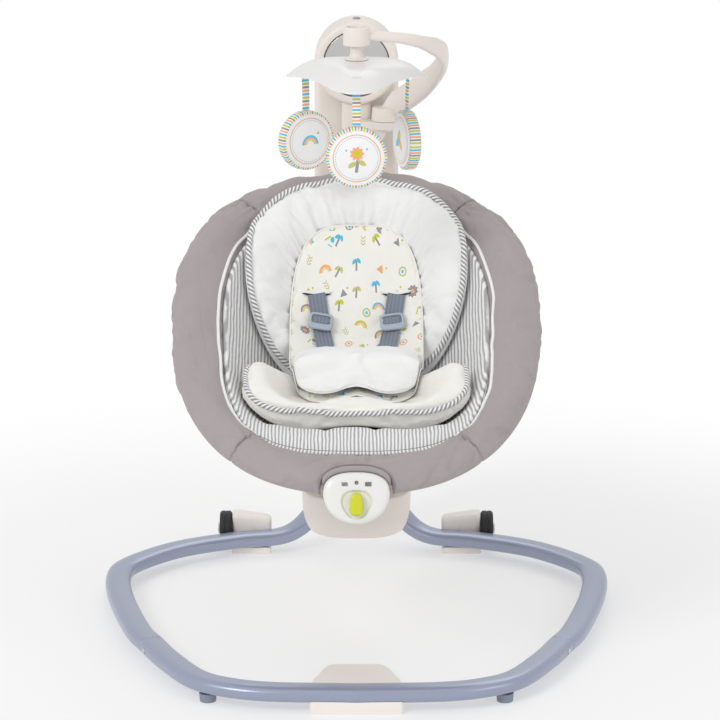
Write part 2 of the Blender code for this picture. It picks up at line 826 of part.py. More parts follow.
def build_inside(front, rear, root):
    wall_y = POST_REAR_Y - POST_WALL
    coil_y = wall_y - GAP - COIL_SIZE[1] / 2
    block("drive_coil", COIL_SIZE, (0, coil_y, COIL_Z), "steel", root, 0.003, 1)
    face = POST_FRONT_Y + POST_WALL
    standoff = 0.0035
    board_y = face + standoff + GAP + BOARD_SIZE[1] / 2
    block("circuit_board", BOARD_SIZE, (0, board_y, BOARD_Z), "green", root)
    for x in (-0.024, 0.024):
        for z in (BOARD_Z - 0.035, BOARD_Z + 0.035):
            post = rod("board_post", (x, face - 0.001, z), (x, face + standoff, z), 0.003, "beige", None, 12)
            boolean(front, as_cutter(post), "UNION")
    deep = 0.013
    profile = [
        (0.0, 0.0),
        (SPEAKER_RADIUS * 0.40, 0.0),
        (SPEAKER_RADIUS * 0.84, -0.008),
        (SPEAKER_RADIUS, -0.009),
        (SPEAKER_RADIUS, -deep),
        (0.0, -deep),
    ]
    place = Matrix.Translation((0, wall_y - GAP - deep, SPEAKER_Z)) @ turn((0, -1, 0))
    turned("speaker", profile, place, "grey", root, 20)
    for row in range(-2, 3):
        slot_z = SPEAKER_Z + row * 0.0070
        slot = block("speaker_slot", (0.030, 0.02, 0.0022), (0, POST_REAR_Y, slot_z), "grey")
        boolean(rear, as_cutter(slot))
    wide, thick, tall = DOOR_SIZE
    opening_size = (wide + 2 * GAP, 0.02, tall + 2 * GAP)
    opening = block("battery_opening", opening_size, (0, POST_REAR_Y, DOOR_Z), "beige")
    boolean(rear, as_cutter(opening))
    block("battery_door", DOOR_SIZE, (0, POST_REAR_Y - 0.0002 - thick / 2, DOOR_Z), "beige", root, 0.0008, 1)
    back = POST_REAR_Y + 0.01
    hole = rod("inlet_hole", (0, wall_y - 0.01, INLET_Z), (0, back, INLET_Z), INLET_RADIUS + GAP, "black")
    boolean(rear, as_cutter(hole))
    profile = [
        (0.0, 0.006),
        (0.0012, 0.006),
        (0.0012, 0.001),
        (0.0040, 0.001),
        (0.0040, 0.008),
        (INLET_RADIUS, 0.008),
        (INLET_RADIUS, -0.006),
        (0.0, -0.006),
    ]
    place = Matrix.Translation((0, POST_REAR_Y - 0.0078, INLET_Z)) @ turn((0, 1, 0))
    turned("power_inlet", profile, place, "black", root, 16)


def build_head(root):
    """The round head: a bezel drum with a slot below for the swing arm, its glass, and a top button."""
    back = POST_FRONT_Y - GAP
    depth = back - RING_FRONT_Y
    wall = 0.0028
    inner = GLASS_RADIUS + GAP
    profile = [
        (inner, depth - 0.0050),
        (inner, depth - 0.0015),
        (RING_RADIUS - 0.0045, depth),
        (RING_RADIUS - 0.0012, depth - 0.0012),
        (RING_RADIUS, depth - 0.0045),
        (RING_RADIUS, 0.0),
        (RING_RADIUS - wall, 0.0),
        (RING_RADIUS - wall, depth - 0.0050),
        (inner, depth - 0.0050),
    ]
    place = Matrix.Translation((0, back, PIVOT_Z)) @ turn((0, -1, 0))
    ring = turned("head_bezel_ring", profile, place, "beige", root, 34)
    reach = RING_RADIUS * math.sin(math.radians(ARM_SWING)) + ARM_WIDTH / 2 + 0.004
    slot = block(
        "arm_slot",
        (2 * reach, depth - 0.0040, RING_RADIUS),
        (0, back - (depth - 0.0080) / 2, PIVOT_Z - RING_RADIUS),
        "beige",
    )
    boolean(ring, as_cutter(slot))
    profile = [
        (0.0, depth + 0.0006),
        (GLASS_RADIUS * 0.5, depth - 0.0002),
        (GLASS_RADIUS - 0.002, depth - 0.0024),
        (GLASS_RADIUS, depth - 0.0038),
        (GLASS_RADIUS, depth - 0.0052),
        (GLASS_RADIUS + 0.0060, depth - 0.0053),
        (GLASS_RADIUS + 0.0060, depth - 0.0070),
        (0.0, depth - 0.0070),
    ]
    turned("head_glass_panel", profile, place, "glass", root, 34)
    top = HEAD_Z + POST_HALF_WIDTH
    y = (POST_FRONT_Y + 0.010 + POST_PARTING_Y) / 2
    hole = rod("top_button_hole", (0, y, top - 0.01), (0, y, top + 0.01), TOP_BUTTON_RADIUS + GAP, "grey")
    boolean(bpy.data.objects["post_front_shell"], as_cutter(hole))
    empty = pivot("top_button_slide", (0, y, top), root)
    flange = top - POST_WALL - 0.0010
    profile = [
        (0.0, top + 0.0030),
        (0.0035, top + 0.0026),
        (TOP_BUTTON_RADIUS, top + 0.0012),
        (TOP_BUTTON_RADIUS, flange),
        (TOP_BUTTON_RADIUS + 0.0015, flange),
        (TOP_BUTTON_RADIUS + 0.0015, flange - 0.0015),
        (0.0, flange - 0.0015),
    ]
    turned("head_top_button", profile, Matrix.Translation((0, y, 0)), "grey", empty, 20)


def build_bearing(root):
    """The shaft's bearing, held in the front shell by its flange."""
    inner = SHAFT_RADIUS + GAP
    flange = 0.0020
    profile = [
        (inner, flange),
        (BEARING_RADIUS + 0.003, flange),
        (BEARING_RADIUS + 0.003, 0.0),
        (BEARING_RADIUS, 0.0),
        (BEARING_RADIUS, -BEARING_LENGTH),
        (inner, -BEARING_LENGTH),
        (inner, flange),
    ]
    place = Matrix.Translation((0, POST_FRONT_Y - GAP, PIVOT_Z)) @ turn((0, -1, 0))
    turned("pivot_bearing", profile, place, "steel", root, 20)


# Swing arm, drive and dock

ARM_ROUTE = [
    (0.0, ARM_Y, PIVOT_Z),
    (0.0, ARM_Y - 0.001, 0.420),
    (0.0, ARM_Y - 0.008, 0.330),
    (0.0, ARM_Y - 0.030, 0.252),
    (0.0, ARM_Y - 0.076, 0.195),
    (0.0, ARM_Y - 0.145, 0.170),
    (0.0, DOCK_Y + DOCK_Y_RADIUS - 0.016, 0.165),
]


def arm_section(shrink):
    points = superellipse(ARM_WIDTH / 2 - shrink, ARM_THICKNESS / 2 - shrink, 4.0, 12, math.pi / 12)
    return lambda share: points


def build_swing_arm(swing):
    """The arm: a round head on the shaft, a straight strip down the post, a bend forward to the dock."""
    path = smooth_path(ARM_ROUTE, 3)
    rings = sweep_rings(path, arm_section(0.0), (0, -1, 1))
    arm = add_object("swing_arm", loft_mesh("swing_arm", rings), "beige", swing)
    half = ARM_THICKNESS / 2
    profile = [
        (0.0, half),
        (ARM_HEAD_RADIUS - 0.003, half),
        (ARM_HEAD_RADIUS, half - 0.003),
        (ARM_HEAD_RADIUS, -half + 0.001),
        (ARM_HEAD_RADIUS - 0.001, -half),
        (0.0, -half),
    ]
    place = Matrix.Translation((0, ARM_Y, PIVOT_Z)) @ turn((0, -1, 0))
    head = turned("swing_arm_head", profile, place, "beige", None, 24)
    boolean(arm, as_cutter(head), "UNION")
    shaft_front = ARM_Y - half + 0.004
    shaft_rear = POST_PARTING_Y - 0.006
    bore = rod(
        "shaft_bore",
        (0, shaft_front - GAP, PIVOT_Z),
        (0, ARM_Y + 0.02, PIVOT_Z),
        SHAFT_RADIUS + GAP,
        "steel",
    )
    boolean(arm, as_cutter(bore))
    rod("pivot_shaft", (0, shaft_front, PIVOT_Z), (0, shaft_rear, PIVOT_Z), SHAFT_RADIUS, "steel", swing)
    lever_front = POST_FRONT_Y + BEARING_LENGTH
    lever_rear = shaft_rear - 0.001
    middle = (lever_front + lever_rear) / 2
    deep = lever_rear - lever_front
    lever_end = PIVOT_Z - LEVER_LENGTH
    lever = rod(
        "drive_magnet_arm",
        (0, lever_front, PIVOT_Z),
        (0, lever_rear, PIVOT_Z),
        LEVER_RADIUS,
        "steel",
        swing,
    )
    stem_place = (0, middle, PIVOT_Z - LEVER_LENGTH / 2)
    stem = block("magnet_stem", (0.012, deep, LEVER_LENGTH - 0.008), stem_place, "steel")
    magnet = block("magnet", (0.026, deep + 0.004, 0.016), (0, middle, lever_end), "steel", None, 0.001, 1)
    boolean(lever, as_cutter(stem), "UNION")
    boolean(lever, as_cutter(magnet), "UNION")
    hole = rod(
        "lever_bore",
        (0, lever_front - 0.01, PIVOT_Z),
        (0, lever_rear + 0.01, PIVOT_Z),
        SHAFT_RADIUS + GAP,
        "steel",
    )
    boolean(lever, as_cutter(hole))
    build_dock(swing)


def build_dock(swing):
    """A bowl that takes the arm's end, with two ears for the seat's recline axle."""
    rings = []
    deep = DOCK_TOP_Z - DOCK_BOTTOM_Z
    for share, size in ((0.0, 0.74), (0.06, 0.85), (0.22, 0.94), (0.50, 0.99), (0.95, 1.0), (1.0, 0.97)):
        outline = superellipse(DOCK_X_RADIUS * size, DOCK_Y_RADIUS * size, 2.8, 22)
        rings.append([Vector((x, DOCK_Y + y, DOCK_BOTTOM_Z + deep * share)) for x, y in outline])
    dock = add_object("dock", loft_mesh("dock", rings), "beige", swing)
    for side in (-1, 1):
        x = side * (HUB_HALF_WIDTH + HUB_SIDE_GAP + EAR_THICKNESS / 2)
        ear = block(
            "dock_ear",
            (EAR_THICKNESS, 2 * EAR_RADIUS, RECLINE_Z - DOCK_TOP_Z + 0.010),
            (x, DOCK_Y, (RECLINE_Z + DOCK_TOP_Z - 0.010) / 2),
            "beige",
        )
        crown = rod(
            "ear_crown",
            (x - EAR_THICKNESS / 2, DOCK_Y, RECLINE_Z),
            (x + EAR_THICKNESS / 2, DOCK_Y, RECLINE_Z),
            EAR_RADIUS,
            "beige",
        )
        boolean(dock, as_cutter(ear), "UNION")
        boolean(dock, as_cutter(crown), "UNION")
    pocket = smooth_path(ARM_ROUTE, 3)[-4:]
    pocket[-1] = pocket[-1] + Vector((0, -GAP, 0))
    rings = sweep_rings(pocket, arm_section(-GAP), (0, -1, 1))
    socket = add_object("arm_socket", loft_mesh("arm_socket", rings), "beige")
    boolean(dock, as_cutter(socket))
    reach = HUB_HALF_WIDTH + EAR_THICKNESS + 0.003
    bore = rod(
        "ear_bore",
        (-reach - 0.01, DOCK_Y, RECLINE_Z),
        (reach + 0.01, DOCK_Y, RECLINE_Z),
        RECLINE_AXLE_RADIUS + GAP,
        "steel",
        None,
        20,
    )
    boolean(dock, as_cutter(bore))
    rod(
        "recline_axle",
        (-reach, DOCK_Y, RECLINE_Z),
        (reach, DOCK_Y, RECLINE_Z),
        RECLINE_AXLE_RADIUS,
        "steel",
        swing,
        20,
    )


# Mobile

CURL_LOW_Z = SHELF_TOP_Z + 0.012
CURL_HIGH_Z = CUP_TOP_Z - 0.013
# The curl's route: across, back, and its share of the rise from the hinge boss to the cup
CURL_ROUTE = (
    (HINGE_X, HINGE_Y, 0.0),
    (0.062, 0.250, 0.123),
    (0.090, 0.210, 0.314),
    (0.112, 0.165, 0.519),
    (0.120, 0.120, 0.710),
    (0.110, 0.085, 0.833),
    (0.083, 0.055, 0.928),
    (0.050, 0.038, 0.983),
    (CUP_RADIUS - 0.004, MOBILE_Y, 1.0),
)
ARM_HALF_HEIGHTS = [0.0100, 0.0185, 0.0185, 0.0150, 0.0155, 0.0125, 0.0085, 0.0072, 0.0060]
TOY_PLACES = (("left", 150.0, 33.0), ("front", -90.0, 3.0), ("right", 30.0, -73.0))


def build_bracket(swing):
    """A bracket on the front of the arm's strip: a curved gusset under a round shelf, with the hinge pin."""
    face = ARM_Y - ARM_THICKNESS / 2 - GAP
    low = SHELF_TOP_Z - SHELF_THICKNESS
    outline = [(0.002, SHELF_TOP_Z), (0.002, low - 0.026), (0.018, low - 0.026)]
    outline += [
        (0.018 + 0.024 * math.sin(a), low - 0.026 + 0.024 * (1 - math.cos(a)))
        for a in (0.35, 0.75, 1.15, math.pi / 2)
    ]
    outline += [(HINGE_X, low), (HINGE_X, SHELF_TOP_Z)]
    front = HINGE_Y - 0.011
    rings = [[Vector((x, y, z)) for x, z in outline] for y in (front, face)]
    bracket = add_object("mobile_bracket", loft_mesh("mobile_bracket", rings), "beige", swing)
    shelf = rod(
        "bracket_shelf",
        (HINGE_X, HINGE_Y, low),
        (HINGE_X, HINGE_Y, SHELF_TOP_Z),
        HINGE_BOSS_RADIUS,
        "beige",
        None,
        24,
    )
    boolean(bracket, as_cutter(shelf), "UNION")
    pin_top = SHELF_TOP_Z + BOSS_HEIGHT - 0.0035
    below = low - 0.036
    above = SHELF_TOP_Z + 0.05
    start = (HINGE_X, HINGE_Y, below)
    bore = rod("pin_seat", start, (HINGE_X, HINGE_Y, above), HINGE_PIN_RADIUS + GAP, "steel")
    boolean(bracket, as_cutter(bore))
    spot = rod("pin_spot_face", start, (HINGE_X, HINGE_Y, low), PIN_HEAD_RADIUS + 0.001, "steel")
    boolean(bracket, as_cutter(spot))
    foot = (HINGE_X, HINGE_Y, low - 0.001)
    pin = rod("mobile_hinge_pin", foot, (HINGE_X, HINGE_Y, pin_top), HINGE_PIN_RADIUS, "steel", swing)
    head_low = (HINGE_X, HINGE_Y, low - PIN_HEAD_HEIGHT)
    head = rod("pin_head", head_low, (HINGE_X, HINGE_Y, low - GAP), PIN_HEAD_RADIUS, "steel")
    boolean(pin, as_cutter(head), "UNION")
    return pin_top


def build_mobile_arm(mobile, pin_top):
    """A broad band that rises from its hinge boss, curls forward and thins to a cup for the spindle."""
    rise = CURL_HIGH_Z - CURL_LOW_Z
    path = smooth_path([(x, y, CURL_LOW_Z + rise * share) for x, y, share in CURL_ROUTE], 3)
    count = len(ARM_HALF_HEIGHTS) - 1

    def section(share):
        spot = share * count
        low = min(int(spot), count - 1)
        part = spot - low
        high = ARM_HALF_HEIGHTS[low] * (1 - part) + ARM_HALF_HEIGHTS[low + 1] * part
        return superellipse(0.0085 - 0.0028 * share, high, 2.4, 10, math.pi / 10)

    arm = add_object("mobile_arm", loft_mesh("mobile_arm", sweep_rings(path, section)), "beige", mobile)
    boss_low = SHELF_TOP_Z + GAP
    boss = rod(
        "hinge_boss",
        (HINGE_X, HINGE_Y, boss_low),
        (HINGE_X, HINGE_Y, boss_low + BOSS_HEIGHT),
        HINGE_BOSS_RADIUS,
        "beige",
        None,
        24,
        HINGE_BOSS_RADIUS - 0.002,
    )
    boolean(arm, as_cutter(boss), "UNION")
    bore = rod(
        "boss_bore",
        (HINGE_X, HINGE_Y, boss_low - 0.01),
        (HINGE_X, HINGE_Y, pin_top + GAP),
        HINGE_PIN_RADIUS + GAP,
        "steel",
    )
    boolean(arm, as_cutter(bore))
    floor = CUP_HEIGHT / 2
    profile = [
        (0.0, CUP_HEIGHT - floor),
        (CUP_WELL_RADIUS, CUP_HEIGHT - floor),
        (CUP_RADIUS - 0.0050, CUP_HEIGHT),
        (CUP_RADIUS - 0.0012, CUP_HEIGHT - 0.0015),
        (CUP_RADIUS, 0.003),
        (CUP_RADIUS - 0.0015, 0.0),
        (0.0, 0.0),
    ]
    place = Matrix.Translation((0, MOBILE_Y, CUP_TOP_Z - CUP_HEIGHT))
    cup = turned("mobile_cup", profile, place, "beige", None, 24)
    boolean(arm, as_cutter(cup), "UNION")
    low, high = CUP_TOP_Z - CUP_HEIGHT - 0.01, CUP_TOP_Z + 0.01
    hole = rod("cup_bore", (0, MOBILE_Y, low), (0, MOBILE_Y, high), SPINDLE_RADIUS + GAP, "steel")
    boolean(arm, as_cutter(hole))
    well = rod(
        "cup_well",
        (0, MOBILE_Y, CUP_TOP_Z - floor),
        (0, MOBILE_Y, high),
        CUP_WELL_RADIUS,
        "steel",
        None,
        24,
    )
    boolean(arm, as_cutter(well))


def canopy_height(share):
    """Height of the canopy's upper skin at a share of its radius."""
    drop = CANOPY_TOP_Z - CANOPY_RIM_Z
    return CANOPY_TOP_Z - drop * (1.15 * share**1.8 - 0.15 * share**8)


def canopy_reach(angle):
    """Radius of the three-lobed canopy at an angle: the lobes come to soft points over the ribbons."""
    lobe = 0.5 + 0.5 * math.cos(3 * (angle + math.pi / 2))
    return CANOPY_RADIUS * (0.72 + 0.33 * lobe**1.6)


def build_canopy(canopy):
    """The spindle with its flared neck, and the three-lobed canopy under it."""
    floor_z = CUP_TOP_Z - CUP_HEIGHT / 2
    under_cup = CUP_TOP_Z - CUP_HEIGHT - GAP
    neck = under_cup - CANOPY_TOP_Z
    profile = [
        (0.0, floor_z + 0.0040),
        (0.0075, floor_z + 0.0034),
        (SPINDLE_HEAD_RADIUS, floor_z + 0.0020),
        (SPINDLE_HEAD_RADIUS, floor_z + GAP),
        (SPINDLE_RADIUS, floor_z + GAP),
        (SPINDLE_RADIUS, under_cup),
        (0.0080, under_cup),
        (0.0082, under_cup - neck * 0.45),
        (0.0105, under_cup - neck * 0.78),
        (0.0160, CANOPY_TOP_Z + 0.0010),
        (0.0160, CANOPY_TOP_Z + 0.0006),
        (0.0, CANOPY_TOP_Z + 0.0006),
    ]
    turned("mobile_spindle", profile, Matrix.Translation((0, MOBILE_Y, 0)), "beige", canopy, 16)
    sides = 30
    rows = 4

    def build(shape):
        top = shape.verts.new((0, MOBILE_Y, canopy_height(0)))
        loops = []
        for row in range(1, rows + 1):
            share = row / rows
            loop = []
            for i in range(sides):
                angle = 2 * math.pi * i / sides
                reach = canopy_reach(angle) * share
                height = canopy_height(min(reach / CANOPY_RADIUS, 1.05))
                spot = (reach * math.cos(angle), MOBILE_Y + reach * math.sin(angle), height)
                loop.append(shape.verts.new(spot))
            loops.append(loop)
        for i in range(sides):
            shape.faces.new((top, loops[0][i], loops[0][(i + 1) % sides]))
        for first, second in zip(loops, loops[1:]):
            for i in range(sides):
                j = (i + 1) % sides
                shape.faces.new((first[i], second[i], second[j], first[j]))

    cover = add_object("mobile_canopy", mesh_from("mobile_canopy", build), "white", canopy)
    wall = cover.modifiers.new("wall", "SOLIDIFY")
    wall.thickness = CANOPY_THICKNESS
    wall.offset = -1.0
    wall.use_even_offset = True


def build_toy(name, azimuth, facing, canopy):
    """A padded disc on a striped ribbon that hangs from the canopy."""
    angle = math.radians(azimuth)
    x = RIBBON_REACH * math.cos(angle)
    y = MOBILE_Y + RIBBON_REACH * math.sin(angle)
    top = canopy_height(RIBBON_REACH / CANOPY_RADIUS) - CANOPY_THICKNESS - 0.0013
    hang = pivot(name + "_toy_hang", (x, y, top), canopy)
    yaw = Matrix.Rotation(math.radians(facing), 4, "Z")
    block(
        name + "_ribbon",
        (RIBBON_WIDTH, RIBBON_THICKNESS, RIBBON_LENGTH),
        (0, 0, -RIBBON_LENGTH / 2),
        "cream",
        hang,
        0.0,
        1,
        Matrix.Translation((x, y, top)) @ yaw,
    )
    centre = top - RIBBON_LENGTH - GAP - TOY_RADIUS
    half = TOY_THICKNESS / 2
    profile = [
        (0.0, half),
        (TOY_RADIUS * 0.55, half * 0.97),
        (TOY_RADIUS * 0.86, half * 0.78),
        (TOY_RADIUS * 0.965, half * 0.55),
        (TOY_RADIUS, half * 0.10),
        (TOY_RADIUS * 0.985, -half * 0.40),
        (TOY_RADIUS * 0.90, -half * 0.75),
        (TOY_RADIUS * 0.60, -half * 0.96),
        (0.0, -half),
    ]
    place = Matrix.Translation((x, y, centre)) @ yaw @ turn((0, -1, 0))
    turned(name + "_toy", profile, place, "toy", hang, 18)


# Seat: the rim lies in a tilted plane, u across it, v up its slope, h square to it

TILT = math.radians(SEAT_TILT)
SLOPE = Vector((0.0, math.cos(TILT), math.sin(TILT)))
SQUARE = Vector((0.0, -math.sin(TILT), math.cos(TILT)))
# The liner's edge stands clear of the roll by its own thickness, which hangs outward there.
LINER_INSET = LINER_THICKNESS + 0.0012
WELL_HALF_WIDTH = RIM_HALF_WIDTH - ROLL_HALF_WIDTH - LINER_INSET
WELL_HALF_LENGTH = RIM_HALF_LENGTH - ROLL_HALF_WIDTH - LINER_INSET


def seat_point(u, v, h):
    return Vector((u, SEAT_Y, SEAT_Z)) + SLOPE * v + SQUARE * h


def egg_point(half_width, half_length, squareness, front_squareness, angle):
    """A point of the rim's kind of outline: a squarish oval, a little wider behind."""
    c, s = math.cos(angle), math.sin(angle)
    power = squareness if s >= 0 else front_squareness
    along = math.copysign(abs(s) ** (2 / power), s)
    wide = half_width * (1 + RIM_EGG * along)
    return wide * math.copysign(abs(c) ** (2 / power), c), half_length * along


def rim_point(angle):
    return egg_point(RIM_HALF_WIDTH, RIM_HALF_LENGTH, RIM_SQUARENESS, RIM_SQUARENESS, angle)


def share_in(half_width, half_length, power, u, v):
    """How far out a point lies in an oval: 0 in the middle, 1 on its edge."""
    return (abs(u / half_width) ** power + abs(v / half_length) ** power) ** (1 / power)


def well_share(u, v):
    """0 in the middle of the seat's well, 1 at its edge."""
    along = max(-1.0, min(1.0, v / WELL_HALF_LENGTH))
    wide = WELL_HALF_WIDTH * (1 + RIM_EGG * along)
    power = WELL_SQUARENESS if v >= 0 else WELL_FRONT_SQUARENESS
    return share_in(wide, WELL_HALF_LENGTH, power, u, v)


def well_height(u, v):
    """The liner's upper skin: steep sides, a long slope for the back and a shelf inside the front."""
    share = min(well_share(u, v), 1.0)
    across = (u / WELL_HALF_WIDTH) ** 2
    along = (v / WELL_HALF_LENGTH) ** 2
    steep = 2 + 2 * across / (across + along + 1e-6)
    from_front = math.atan2(abs(u / WELL_HALF_WIDTH), -v / WELL_HALF_LENGTH)
    shelf = FRONT_SHELF / (1 + math.exp((from_front - 0.85) / 0.12))
    return -LINER_DEPTH * (1 - share**steep) ** (WELL_STEEPNESS + shelf)


def seat_height(u, v):
    """What padding rests on: the liner in the well, and the roll around it."""
    share = well_share(u, v)
    if share <= 1.0:
        return well_height(u, v)
    beyond = max(0.0, math.hypot(u, v) * (1 - 1 / share) - LINER_INSET)
    inward = max(0.0, 1 - beyond / ROLL_HALF_WIDTH)
    return ROLL_HALF_HEIGHT * math.sqrt(1 - inward**2)


def rest_height(u, v, gap=PAD_GAP):
    """The height that padding starts from, clear of the seat by the same gap on flat and on steep."""
    step = 0.004
    across = (seat_height(u + step, v) - seat_height(u - step, v)) / (2 * step)
    along = (seat_height(u, v + step) - seat_height(u, v - step)) / (2 * step)
    steep = min(math.hypot(across, along), 3.0)
    return seat_height(u, v) + gap * math.sqrt(1 + steep**2)


def oval(half_width, half_length, power_up, power_down=None):
    """An outline as a function of angle, with its own roundness at each end."""

    def outline(angle):
        c, s = math.cos(angle), math.sin(angle)
        power = power_up if s >= 0 or power_down is None else power_down
        return (
            half_width * math.copysign(abs(c) ** (2 / power), c),
            half_length * math.copysign(abs(s) ** (2 / power), s),
        )

    return outline


def padding(name, centre_v, outline, low, high, finish, parent, rows=6, sides=32):
    """A closed pad: low and high give its lower and upper skin at (u, v, share of the outline, angle)."""

    def spot(share, angle, height):
        du, dv = outline(angle)
        u, v = du * share, centre_v + dv * share
        return seat_point(u, v, height(u, v, share, angle))

    def build(shape):
        top = shape.verts.new(spot(0.0, 0.0, high))
        bottom = shape.verts.new(spot(0.0, 0.0, low))
        shares = [math.sin(0.5 * math.pi * row / rows) ** 0.85 for row in range(1, rows + 1)]
        upper, lower = [], []
        for share in shares:
            angles = [2 * math.pi * i / sides for i in range(sides)]
            upper.append([shape.verts.new(spot(share, angle, high)) for angle in angles])
            lower.append([shape.verts.new(spot(share, angle, low)) for angle in angles])
        loops = upper + lower[::-1]
        for first, second in zip(loops, loops[1:]):
            for i in range(sides):
                j = (i + 1) % sides
                shape.faces.new((first[i], second[i], second[j], first[j]))
        for i in range(sides):
            j = (i + 1) % sides
            shape.faces.new((top, upper[0][i], upper[0][j]))
            shape.faces.new((bottom, lower[0][j], lower[0][i]))

    return add_object(name, mesh_from(name, build), finish, parent)


def support_top(u, v, share, angle):
    """A rolled edge round a hollow, open towards the seat."""
    from_below = abs(math.remainder(angle + math.pi / 2, 2 * math.pi))
    opening = 1 - math.exp(-((from_below / 0.75) ** 2))
    roll = math.exp(-(((share - 0.80) / 0.15) ** 2)) * opening
    round_edge = max(0.0, 1 - share**9) ** 0.5
    thickness = SUPPORT_THICKNESS * (SUPPORT_RECESS + (1 - SUPPORT_RECESS) * roll) * round_edge
    return rest_height(u, v) + 0.003 + thickness


def ease(share):
    share = min(1.0, max(0.0, share))
    return share * share * (3 - 2 * share)


def cushion_dish(u, v, share):
    """A dish whose brow rises to the rim's height in front and at the sides."""
    low = rest_height(u, v, CUSHION_GAP) + 0.003
    dish = low + CUSHION_THICKNESS * (0.86 + 0.14 * share**2)
    rise = ease((share - 0.64) / 0.28) / (1 + math.exp((v + 0.050) / 0.014))
    return dish + (max(CUSHION_BROW, dish) - dish) * rise


def cushion_top(u, v, share, angle):
    low = rest_height(u, v, CUSHION_GAP) + 0.003
    return low + (cushion_dish(u, v, share) - low) * max(0.0, 1 - share**14) ** 0.45


def pad_floor(u, v):
    """What the inner pad lies on: the support behind, the seat cushion in front."""
    back = v - SUPPORT_V
    seat = v - CUSHION_V
    share_back = share_in(SUPPORT_HALF_WIDTH, SUPPORT_HALF_LENGTH, SUPPORT_SQUARENESS, u, back)
    power = CUSHION_SQUARENESS if seat >= 0 else CUSHION_FRONT_SQUARENESS
    share_seat = share_in(CUSHION_HALF_WIDTH, CUSHION_HALF_LENGTH, power, u, seat)
    # Past their crowns the pad keeps its height, so it bridges the crease between the two.
    angle = math.atan2(back / SUPPORT_HALF_LENGTH, u / SUPPORT_HALF_WIDTH)
    level_back = support_top(u, v, min(share_back, 0.80), angle)
    level_seat = cushion_dish(u, v, min(share_seat, 1.0))
    blend = 1 / (1 + math.exp(-(v - PAD_STEP_V) / PAD_STEP_RUN))
    return level_seat * (1 - blend) + level_back * blend


def pad_skin(u, v):
    return pad_floor(u, v) + PAD_LIFT + PAD_THICKNESS


def seat_frame_at(height, u, v, lift):
    """A frame on a seat surface: +Z square to it, +Y up the slope."""
    step = 0.004
    middle = seat_point(u, v, height(u, v))
    across = seat_point(u + step, v, height(u + step, v)) - seat_point(u - step, v, height(u - step, v))
    up = seat_point(u, v + step, height(u, v + step)) - seat_point(u, v - step, height(u, v - step))
    across.normalize()
    out = across.cross(up).normalized()
    up = out.cross(across).normalized()
    matrix = Matrix((across, up, out)).transposed().to_4x4()
    return Matrix.Translation(middle + out * lift) @ matrix


def roll_reach(here, outward):
    """How far the roll reaches inward from the ring tube: to the well's edge, less the liner's gap."""
    low, high = RING_SLOT_RADIUS, 2 * ROLL_HALF_WIDTH
    for _ in range(24):
        reach = (low + high) / 2
        spot = here - outward * (reach + LINER_INSET)
        if well_share(spot.x, spot.y) > 1.0:
            low = reach
        else:
            high = reach
    return low


def build_rim(seat):
    """The ring tube, and the padded roll that wraps it with a slot along its underside."""
    steps = 36
    rings = []
    seams = (math.radians(52), math.radians(128), math.radians(-52), math.radians(-128))
    for i in range(steps):
        angle = 2 * math.pi * i / steps
        here = Vector(rim_point(angle))
        ahead = Vector(rim_point(angle + 0.02)) - Vector(rim_point(angle - 0.02))
        outward = Vector((ahead.y, -ahead.x)).normalized()
        near = min(abs(math.remainder(angle - seam, 2 * math.pi)) for seam in seams)
        full = 1 - 0.07 * math.exp(-((near / 0.05) ** 2))
        inward = roll_reach(here, outward)
        lip = math.asin(RING_SLOT_RADIUS / ROLL_HALF_WIDTH)
        inner_lip = math.asin(min(0.9, RING_SLOT_RADIUS / inward))
        section = []
        for k in range(12):
            turn_by = -math.pi / 2 + lip + (2 * math.pi - lip - inner_lip) * k / 11
            reach = ROLL_HALF_WIDTH if math.cos(turn_by) > 0 else inward
            section.append((reach * math.cos(turn_by), ROLL_HALF_HEIGHT * full * math.sin(turn_by)))
        for k in range(5):
            turn_by = math.pi - math.pi * k / 4
            section.append((RING_SLOT_RADIUS * math.cos(turn_by), RING_SLOT_RADIUS * math.sin(turn_by)))
        rings.append([seat_point(*(here + outward * a), b) for a, b in section])
    mesh = loft_mesh("rim_cover", rings, around=True)
    cover = add_object("rim_cover", mesh, "taupe", seat)
    route = []
    for i in range(steps):
        u, v = rim_point(2 * math.pi * i / steps)
        route.append(seat_point(u, v, 0.0))
    round_tube("seat_ring_tube", route, RING_TUBE_RADIUS, "tube", seat, True)
    clear = round_tube("ring_tube_clear", route, RING_TUBE_RADIUS + GAP, "tube", None, True)
    return cover, as_cutter(clear)


def build_liner(seat):
    """The striped well: an open skin from the roll's inner edge, given its thickness by Solidify."""
    sides, rows = 32, 9

    def spot(share, angle):
        powers = (WELL_SQUARENESS, WELL_FRONT_SQUARENESS)
        u, v = egg_point(WELL_HALF_WIDTH, WELL_HALF_LENGTH, *powers, angle)
        return seat_point(u * share, v * share, well_height(u * share, v * share))

    def build(shape):
        middle = shape.verts.new(seat_point(0, 0, well_height(0, 0)))
        loops = []
        for row in range(1, rows + 1):
            share = (row / rows) ** 0.8
            angles = [2 * math.pi * i / sides for i in range(sides)]
            loops.append([shape.verts.new(spot(share, angle)) for angle in angles])
        for i in range(sides):
            shape.faces.new((middle, loops[0][i], loops[0][(i + 1) % sides]))
        for first, second in zip(loops, loops[1:]):
            for i in range(sides):
                j = (i + 1) % sides
                shape.faces.new((first[i], second[i], second[j], first[j]))

    liner = add_object("seat_liner", mesh_from("seat_liner", build), "stripe", seat)
    wall = liner.modifiers.new("wall", "SOLIDIFY")
    wall.thickness = LINER_THICKNESS
    wall.offset = -1.0


